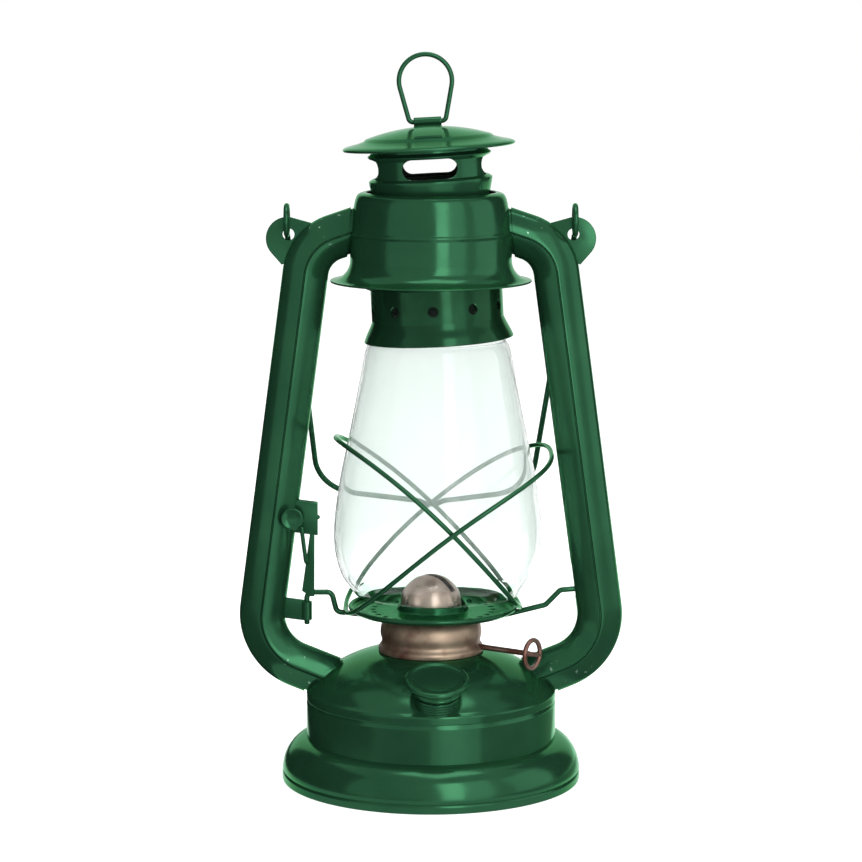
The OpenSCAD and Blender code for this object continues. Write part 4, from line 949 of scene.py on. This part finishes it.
class LANTERN_OT_chimney(bpy.types.Operator):
    """Chimney: a pierced collar, a windowed tube, a brimmed cap with a strap, the lift ring and the spring"""
    bl_idname = "lantern.chimney"
    bl_label = "Chimney"

    def execute(self, context):
        sizes = context.scene.lantern_sizes
        thick = sizes.sheet / MM
        collar = pierced_collar(thick)
        # The collar's darker enamel is painted shade under the hood's lip
        inner_painted_shade(fit(collar, "chimney", "green_enamel", "globe_collar", finish="painted_shade_enamel"), LEAN)
        # The inner faces of the collar above and of the tube get painted shade
        inner_painted_shade(fit(windowed_tube(thick), "chimney", "green_enamel", "chimney_tube"), LEAN)
        brim = flow([(36.1, 270.95), (36.28, 271.5), (35.6, 272.1), (34.2, 272.6), (30.3, 273.5),
            (27.5, 274.4)], 5)
        steps = 16
        reaches = [CROWN_R * (1 - i / steps) for i in range(steps + 1)]
        crown = [(reach, cap_crown(reach)) for reach in reaches]
        fit(lathe("brimmed_cap", sheet(brim + crown, thick), LEAN), "chimney", "green_enamel", "chimney_cap")
        fit(cap_strap(thick), "chimney", "green_enamel", "ring_strap")
        fit(pull_ring(sizes.ring_wire / MM / 2), "lift_ring", "green_enamel", "lift_ring")
        # The spring is made in two parts: the lower coils ride on the globe carriage and the upper ones on
        # the frame
        low_z, pitch, mean_r, parts = 214.75, 5.63, 28.2, 160
        for name, first, last, body, joint, keep, nodes in (
                ("lower_spring_coils", 0, 3.995, "globe_carriage", "chimney_lift", 0.33, ()),
                ("upper_spring_coils", 4.005, 6, "frame", "globe_lift", 0.28, ("chimney_spring",))):
            turns = [first + (last - first) * i / parts for i in range(parts + 1)]
            coil = [LEAN @ Vector((mean_r * cos(2 * pi * t), mean_r * sin(2 * pi * t), low_z + pitch * t))
                for t in turns]
            spring = sweep(name, coil, sizes.spring_wire / MM / 2, UP, sides=12)
            fit(spring, body, "spring_steel", *nodes)
            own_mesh(spring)
        return {"FINISHED"}


def pierced_collar(thick):
    """The collar over the glass, with a ring of air holes and a flange that the spring bears on."""
    line = flow([(31.6, 190.4), (30.4, 193.2), (28.8, 196.4), (27.9, 198.6)], 6) + [Vector((27.9, 212.7))]
    flange = lathe("collar_flange", sheet([(29.4, 213.5), (27, 213.5), (24.85, 213.5)], thick), LEAN)
    level, count, hole_r = Vector((0, 0, 204.15)), 10, 2.25
    spokes = [Vector((*toward(360 / count * (i + 0.4)), 0)) for i in range(count)]
    holes = [(LEAN @ (out * 25 + level), LEAN @ (out * 31 + level)) for out in spokes]
    made = cut(lathe("pierced_collar", sheet(line, thick), LEAN), rods("collar_holes", holes, hole_r))
    return join(made, flange)


def windowed_tube(thick):
    """The chimney's tube, with a bead under the cap, a bulge over the hood and four oval windows."""
    radius, window_z, window_r, window_x = 24.4, 262.8, 4.2, 7.3
    wall = [Vector((radius, 209.9)), Vector((radius, 230))]
    wall += flow([(radius, 250), (25.2, 253), (26, 257), (25.68, 257.8), (radius, 258.6)], 6)
    wall += flow([(radius, 266.2), (26, 267.8), (25.2, 268.6), (radius, 269.4)], 6)
    wall.append(Vector((radius, 274.5)))
    made = lathe("chimney_tube_wall", sheet(wall, thick), LEAN)
    oval = arc((window_x, window_z), window_r, window_r, -90, 90, 14)
    oval += arc((-window_x, window_z), window_r, window_r, 90, 270, 14)
    quarters = [LEAN @ Matrix.Rotation(radians(90 * i), 4, "Z") for i in range(4)]
    return cut(made, *[plate("window", oval, -29, -20, 0, quarter) for quarter in quarters])


def cap_strap(thick):
    """A strip bent over the cap's crown, with a sleeve that the ring turns in."""
    rows, columns, half_length, half_width, gap = 40, 8, 24.3, 5.8, 0.05
    points = []
    for rise in (gap, gap + thick):
        for i in range(rows + 1):
            y = half_length * (2 * i / rows - 1)
            for k in range(columns + 1):
                x = half_width * (2 * k / columns - 1)
                points.append((x, y, cap_crown(hypot(x, y)) + rise))
    wide, layer = columns + 1, (rows + 1) * (columns + 1)
    spots = [low + i * wide + k for low in (0, layer) for i in range(rows) for k in range(columns)]
    faces = [(spot, spot + 1, spot + wide + 1, spot + wide) for spot in spots]
    rim = list(range(columns)) + [i * wide + columns for i in range(rows)]
    rim += [rows * wide + k for k in range(columns, 0, -1)] + [i * wide for i in range(rows, 0, -1)]
    faces += [(a, b, b + layer, a + layer) for a, b in zip(rim, rim[1:] + rim[:1])]
    strap = piece("cap_strap", points, faces, LEAN)
    across = Matrix.Translation((0, 0, RING_Z)) @ Matrix.Rotation(radians(90), 4, "Y")
    sleeve = [(1.06, -5.5), (1.2, -5.8), (1.7, -5.8), (1.86, -5.6), (1.86, 5.6), (1.7, 5.8),
        (1.2, 5.8), (1.06, 5.5)]
    return join(strap, lathe("strap_sleeve", sleeve, LEAN @ across, 48))


def pull_ring(radius):
    """The wire ring: a straight bar in the sleeve, two narrowing legs and a round top."""
    tall, corner_r, top_r, up = 28, 2, 11.1, 77.2
    runs = two_runs(Vector((0, tall)) - turned(corner_r, 0, up) - turned(top_r, up, 180), 0, up)
    half = bent((0, 0), 0, [(runs[0], corner_r, up), (runs[1], top_r, 180 - up)])
    line = half + flipped(half[-2:0:-1])
    return sweep("wire_pull_ring", [LEAN @ Vector((p.x, 0, RING_Z + p.y)) for p in line], radius, DEPTH, True)


class LANTERN_OT_globe(bpy.types.Operator):
    """Globe: a blown glass globe and the pierced dish that it stands in"""
    bl_idname = "lantern.globe"
    bl_label = "Globe"

    def execute(self, context):
        sizes = context.scene.lantern_sizes
        # Both stand a little to the right of the lantern's middle
        globe_x, dish_x = 3, 0.8
        glass = flow([(31.5, 74.95), (36.38, 81.83), (42.03, 91.05), (44.45, 106), (42.12, 127.84),
            (36.79, 153.88), (33.29, 172.02), (30.89, 184.96), (28.85, 189.3)], 12)
        aside = Matrix.Translation((globe_x, 0, 0))
        globe = lathe("glass_chimney_globe", sheet(glass, sizes.glass / MM), aside)
        fit(globe, "globe_carriage", "clear_glass", "glass_globe")
        over = Matrix.Translation((dish_x, 0, 0))
        dish = [(34.9, 74.5), (33.8, 73.7), (31, 73.2), (16.95, 73.2), (15.4, 73.5), (14.95, 74.2),
            (14.95, 75.9), (14.8, 76.3)]
        bead_r, ring_r = 0.9, 25.6
        bead = [(35.3 + bead_r * c, 74.7 + bead_r * s) for c, s in around(20)]
        ring = [(dish_x + ring_r * c, ring_r * s) for c, s in around(28)]
        holes = rods("dish_holes", [(Vector((x, y, 71)), Vector((x, y, 76))) for x, y in ring], 1.3, 20)
        made = cut(lathe("pierced_dish", sheet(dish, sizes.sheet / MM), over), holes)
        fit(join(made, lathe("dish_bead", bead, over)), "globe_carriage", "green_enamel", "globe_plate")
        return {"FINISHED"}


class LANTERN_OT_guard(bpy.types.Operator):
    """Guard: two slanted wire hoops that cross over the belly of the glass"""
    bl_idname = "lantern.guard"
    bl_label = "Wire guard"

    def execute(self, context):
        radius = context.scene.lantern_sizes.guard_wire / MM / 2
        count, low_z, bow, power = 176, 74.7, 7, 2 / 2.6
        for name, node, low_x, high_x, high_z, half, twist in (
                ("left_guard_hoop", "left_guard_wire", 38.1, -40.4, 148, 47.6, -5.5),
                ("right_guard_hoop", "right_guard_wire", -36.5, 51.2, 141, 49.95, 2)):
            line = []
            for i in range(count):
                a = 2 * pi * (i + 0.5) / count
                u, v = swell(cos(a), power), swell(sin(a), power)
                line.append(Vector(((low_x + high_x) / 2 + (high_x - low_x) / 2 * u, half * v,
                    (low_z + high_z) / 2 + (high_z - low_z) / 2 * u + bow * (1 - u * u) + twist * v)))
            fit(sweep(name, line, radius, UP, True, sides=14), "globe_carriage", "green_enamel", node)
        return {"FINISHED"}


class LANTERN_OT_lift(bpy.types.Operator):
    """Lift: the two bent arms under the dish, the lever with its thumb disc and the brackets that guide it"""
    bl_idname = "lantern.lift"
    bl_label = "Globe lift"

    def execute(self, context):
        radius = context.scene.lantern_sizes.arm_wire / MM / 2
        steps = arm_steps(reach=22.2, rise=80.7 - 70.87, first=6, steep=76, last=0, end=6, hook=-90)
        left = bent((28.4, 70.87), 6, steps + [(10.9, 1, 0)])
        made = sweep("left_arm_wire", upright(flipped(left)), radius, DEPTH)
        fit(made, "globe_carriage", "green_enamel", "left_lift_arm")
        steps = arm_steps(reach=65.278 - 30, rise=82.5 - 70.415, first=14, steep=46, last=5, end=9, hook=0)
        right = bent((30, 70.415), 14, steps)
        made = sweep("right_arm_wire", upright(right), radius, DEPTH)
        fit(made, "globe_carriage", "green_enamel", "right_lift_arm")
        fit(lever(), "globe_carriage", "green_enamel", "lift_lever")
        guide = [(-48.25, 106), (-48.25, 120), (-59.2, 121.46), (-59.2, 107.46)]
        upper = plate("lever_guide", guide, -3.75, 0.15)
        pocket = plate("guide_pocket", [(-49.25, 99), (-49.25, 130), (-72, 130), (-72, 99)], -2.75, -0.85, 0)
        seat = Matrix.Translation((-48.25, -2.75, 113.8))
        nub = lathe("guide_nub", arc((0, 0), 1, 1, -90, 90, 10), seat, 24)
        fit(join(cut(upper, pocket), nub), "frame", "green_enamel", "upper_lever_bracket")
        arm_x, bore_r = -53.2, 1.21
        web = plate("arm_guide", [(arm_x, 68.2), (arm_x, 77.2), (-64.59, 78.72), (-64.59, 69.72)], -0.5, 0.5)
        sleeve = [(bore_r, 68.9), (1.4, 68.7), (2, 68.7), (2.21, 68.9), (2.21, 76.5), (2, 76.7), (1.4, 76.7),
            (bore_r, 76.5)]
        pipe = lathe("arm_sleeve", sleeve, Matrix.Translation((arm_x, 0, 0)), 40)
        bore = rods("arm_bore", [(Vector((arm_x, 0, 60)), Vector((arm_x, 0, 90)))], bore_r)
        fit(join(cut(web, bore), pipe), "frame", "green_enamel", "lower_lever_bracket")
        return {"FINISHED"}


def arm_steps(reach, rise, first, steep, last, end, hook):
    """Steps of a lift arm: a shallow run, a steep run, a level end and a hook."""
    bend_r = 2.6
    bends = turned(bend_r, first, steep) + turned(-bend_r, steep, last) + end * toward(last)
    runs = two_runs(Vector((reach, rise)) - bends, first, steep)
    return [(runs[0], bend_r, steep - first), (runs[1], bend_r, last - steep), (end, bend_r, hook)]


def lever():
    """A flat strip, a thin leg that steps forward, and a dished thumb disc."""
    outline = [(-51.6, 119), (-49.6, 119), (-49.9, 79.25), (-51.6, 79.25), (-55.2, 81.65), (-51.6, 107)]
    strip = plate("lift_lever_strip", outline, -2.4, -1.2)
    foot, step, top = Vector((-53.1, -2.1, 94)), Vector((-53.3, -6.2, 95.4)), Vector((-55, -8.8, 110.6))
    line = flow([foot, foot.lerp(step, 0.7), step.lerp(top, 0.12), top], 8)
    leg = sweep("lever_leg", line, 0.9, (1, 0, 0))
    disc = [(0, 0.2), (2.2, 0.3), (3.3, 0.55), (3.9, 0.85), (4.2, 0.9), (4.5, 0.8), (4.7, 0.5), (4.7, -0.5),
        (4.4, -0.8), (3.9, -0.9), (0, -0.9)]
    facing = Matrix.Translation((-58.9, -9.6, 114.2)) @ Matrix.Rotation(radians(90), 4, "X")
    return join(strip, leg, lathe("thumb_disc", disc, facing, 64))


class LANTERN_OT_inside(bpy.types.Operator):
    """Inner pieces: the solids that stay as they are get the finish of their slot"""
    bl_idname = "lantern.inside"
    bl_label = "Inner pieces"

    def execute(self, context):
        slots = {row["node"]: row["material_slot"] for row in frame["record"]["subparts"]}
        for name, solid in frame["nodes"].items():
            solid.data.materials.clear()
            solid.data.materials.append(finish_of(slots[name]))
        return {"FINISHED"}


# Stage, in metres

class LANTERN_OT_stage(bpy.types.Operator):
    """Stage: a white floor, a white room, soft lights and the camera"""
    bl_idname = "lantern.stage"
    bl_label = "Stage"

    def execute(self, context):
        studio = context.scene.lantern_studio
        half, below = 4000, -0.05
        corners = [(-half, -half, below), (half, -half, below), (half, half, below), (-half, half, below)]
        floor = piece("floor", corners, [(0, 1, 2, 3)])
        floor.data.materials.append(white_floor())
        white_room(studio.sky)
        card("left_card", ((-1, -0.45, 0), (-1, 1.8, 0), (-1, 1.8, 1.2), (-1, -0.45, 1.2)))
        card("right_card", ((1.1, 0.3, 0), (1.1, 1.6, 0), (1.1, 1.6, 1.6), (1.1, 0.3, 1.6)))
        # The floor cards' edges run along the lines that the tank's wall mirrors, so its bands are upright
        grey = "#b0b0b0"
        card("left_floor_card", ((-0.083, -0.0867), (-0.686, -0.498), (-1.2, -0.498), (-1.2, 1.8),
            (-0.085, 1.8), (-0.085, 0.03), (-0.105, -0.03)))
        card("middle_floor_card", ((0, -0.12), (-0.083, -0.0867), (-0.686, -0.498), (0, -0.62)), grey)
        card("right_floor_card", ((0.06, -0.0866), (0.526, -0.534), (1.1, -0.534), (1.1, 0.3),
            (0.11, 0.12)), grey)
        card("bright_floor_card", ((0.0085, -0.083), (0.0636, -0.449), (0.2306, -0.388), (0.0312, -0.0767)),
            "#ffffff", 1.3)
        soft_light("key_light", (0.42, -1.4, 0.62), 0.45, 1.5, studio.key)
        soft_light("front_light", (0.9, -1.15, 0.62), 0.65, 1.5, studio.front)
        fill = soft_light("fill_light", (-1.3, -0.9, 0.6), 0.6, 1.2, studio.fill)
        fill.visible_glossy = False
        soft_light("side_light", (1.42, -0.1, 0.5), 1.1, 1.2, studio.side)
        soft_light("top_light", (0.1, -0.1, 1.5), 0.8, 0.8, studio.top, aim=0.1)
        camera = bpy.data.objects.new("camera", bpy.data.cameras.new("camera"))
        camera.data.lens = studio.lens / MM
        camera.data.sensor_width = 36
        camera.location = (0, -1.283, 0.339)
        camera.rotation_euler = (radians(81.64), 0, 0)
        context.scene.collection.objects.link(camera)
        context.scene.camera = camera
        context.scene.view_settings.view_transform = "Standard"
        return {"FINISHED"}


def card(name, corners, tone="#161616", glow=0.0):
    """A felt card near the lantern, seen only in gloss, that shapes what round pieces mirror. It may be lit.
    Corners of two numbers lie on the floor."""
    made = piece(name, [Vector(c).to_3d() / MM for c in corners], [list(range(len(corners)))])
    material, tree, place = new_material("felt_card")
    nap = add_node(tree, "ShaderNodeTexNoise", {"Vector": place, "Scale": 1 / (3 * MM)})
    shade = [0.7 * c for c in linear(tone)[:3]]
    colour = add_node(tree, "ShaderNodeValToRGB", {"Fac": nap}, ((0, (*shade, 1)), (1, linear(tone))))
    felt = add_node(tree, "ShaderNodeBsdfDiffuse", {"Color": colour})
    lamp = add_node(tree, "ShaderNodeEmission", {"Color": (1, 1, 1, 1), "Strength": glow})
    both = add_node(tree, "ShaderNodeAddShader", {0: felt, 1: lamp})
    add_node(tree, "ShaderNodeOutputMaterial", {"Surface": both})
    made.data.materials.append(material)
    made.visible_camera = False
    made.visible_diffuse = False
    made.visible_transmission = False
    made.visible_shadow = False


def seen_directly(tree):
    """1 for rays from the camera, or that reach the surface by a mirror or through glass, and else 0."""
    path = add_node(tree, "ShaderNodeLightPath").outputs
    seen = path["Is Camera Ray"]
    for ray in ("Is Glossy Ray", "Is Transmission Ray"):
        seen = add_node(tree, "ShaderNodeMath", {0: seen, 1: path[ray]}, operation="MAXIMUM")
    return seen


def white_floor():
    """Plain white seamless paper: matt, with a faint grain. It shows as white as the room, less the
    shadow."""
    material, tree, place = new_material("white_seamless_paper")
    grain = add_node(tree, "ShaderNodeTexNoise", {"Vector": place, "Scale": 1 / (1.5 * MM), "Detail": 2})
    colour = add_node(tree, "ShaderNodeValToRGB", {"Fac": grain},
        ((0, linear("#e9e9e9")), (1, linear("#f0f0f0"))))
    paper = add_node(tree, "ShaderNodeBsdfDiffuse", {"Color": colour})
    lift = add_node(tree, "ShaderNodeMath", {0: seen_directly(tree), 1: 0.66}, operation="MULTIPLY")
    glow = add_node(tree, "ShaderNodeEmission", {"Color": (1, 1, 1, 1), "Strength": lift})
    both = add_node(tree, "ShaderNodeAddShader", {0: paper, 1: glow})
    add_node(tree, "ShaderNodeOutputMaterial", {"Surface": both})
    return material


def white_room(strength):
    """A white room that the camera, gloss and glass see at full white, and that lights matt surfaces less."""
    world = bpy.data.worlds.new("white_room")
    world.use_nodes = True
    bpy.context.scene.world = world
    tree = world.node_tree
    tree.nodes.clear()
    level = add_node(tree, "ShaderNodeMapRange", {"Value": seen_directly(tree), "To Min": strength,
        "To Max": 1})
    sky = add_node(tree, "ShaderNodeBackground", {"Color": (1, 1, 1, 1), "Strength": level})
    add_node(tree, "ShaderNodeOutputWorld", {"Surface": sky})


def soft_light(name, place, wide, tall, power, aim=0.15):
    """A soft box that faces the lantern's axis at a height."""
    lamp = bpy.data.lights.new(name, "AREA")
    lamp.shape = "RECTANGLE"
    lamp.size = wide
    lamp.size_y = tall
    lamp.energy = power
    made = bpy.data.objects.new(name, lamp)
    made.location = place
    made.rotation_euler = (UP * aim - Vector(place)).to_track_quat("-Z", "Y").to_euler()
    bpy.context.scene.collection.objects.link(made)
    return made


class LANTERN_PT_panel(bpy.types.Panel):
    """The lantern's pieces and settings"""
    bl_idname = "LANTERN_PT_panel"
    bl_label = "Kerosene Lantern"
    bl_space_type = "VIEW_3D"
    bl_region_type = "UI"
    bl_category = "Lantern"

    def draw(self, context):
        scene = context.scene
        for group in (scene.lantern_sizes, scene.lantern_colours, scene.lantern_studio):
            box = self.layout.box()
            for name in group.__annotations__:
                box.prop(group, name)
        for operator in OPERATORS:
            self.layout.operator(operator.bl_idname)


OPERATORS = (LANTERN_OT_tank, LANTERN_OT_filler, LANTERN_OT_burner, LANTERN_OT_hood, LANTERN_OT_tubes,
    LANTERN_OT_bail, LANTERN_OT_chimney, LANTERN_OT_globe, LANTERN_OT_guard, LANTERN_OT_lift,
    LANTERN_OT_inside, LANTERN_OT_stage)
CLASSES = (LanternSizes, LanternColours, LanternStudio, *OPERATORS, LANTERN_PT_panel)


def register():
    """Adds the classes and the settings to Blender."""
    for one in CLASSES:
        bpy.utils.register_class(one)
    bpy.types.Scene.lantern_sizes = PointerProperty(type=LanternSizes)
    bpy.types.Scene.lantern_colours = PointerProperty(type=LanternColours)
    bpy.types.Scene.lantern_studio = PointerProperty(type=LanternStudio)


def unregister():
    """Takes the classes and the settings out of Blender."""
    del bpy.types.Scene.lantern_studio
    del bpy.types.Scene.lantern_colours
    del bpy.types.Scene.lantern_sizes
    for one in reversed(CLASSES):
        bpy.utils.unregister_class(one)


def main():
    """Makes every piece and the stage."""
    register()
    bpy.ops.lantern.tank()
    bpy.ops.lantern.filler()
    bpy.ops.lantern.burner()
    bpy.ops.lantern.hood()
    bpy.ops.lantern.tubes()
    bpy.ops.lantern.bail()
    bpy.ops.lantern.chimney()
    bpy.ops.lantern.globe()
    bpy.ops.lantern.guard()
    bpy.ops.lantern.lift()
    bpy.ops.lantern.inside()
    bpy.ops.lantern.stage()


if __name__ == "__main__":
    main()
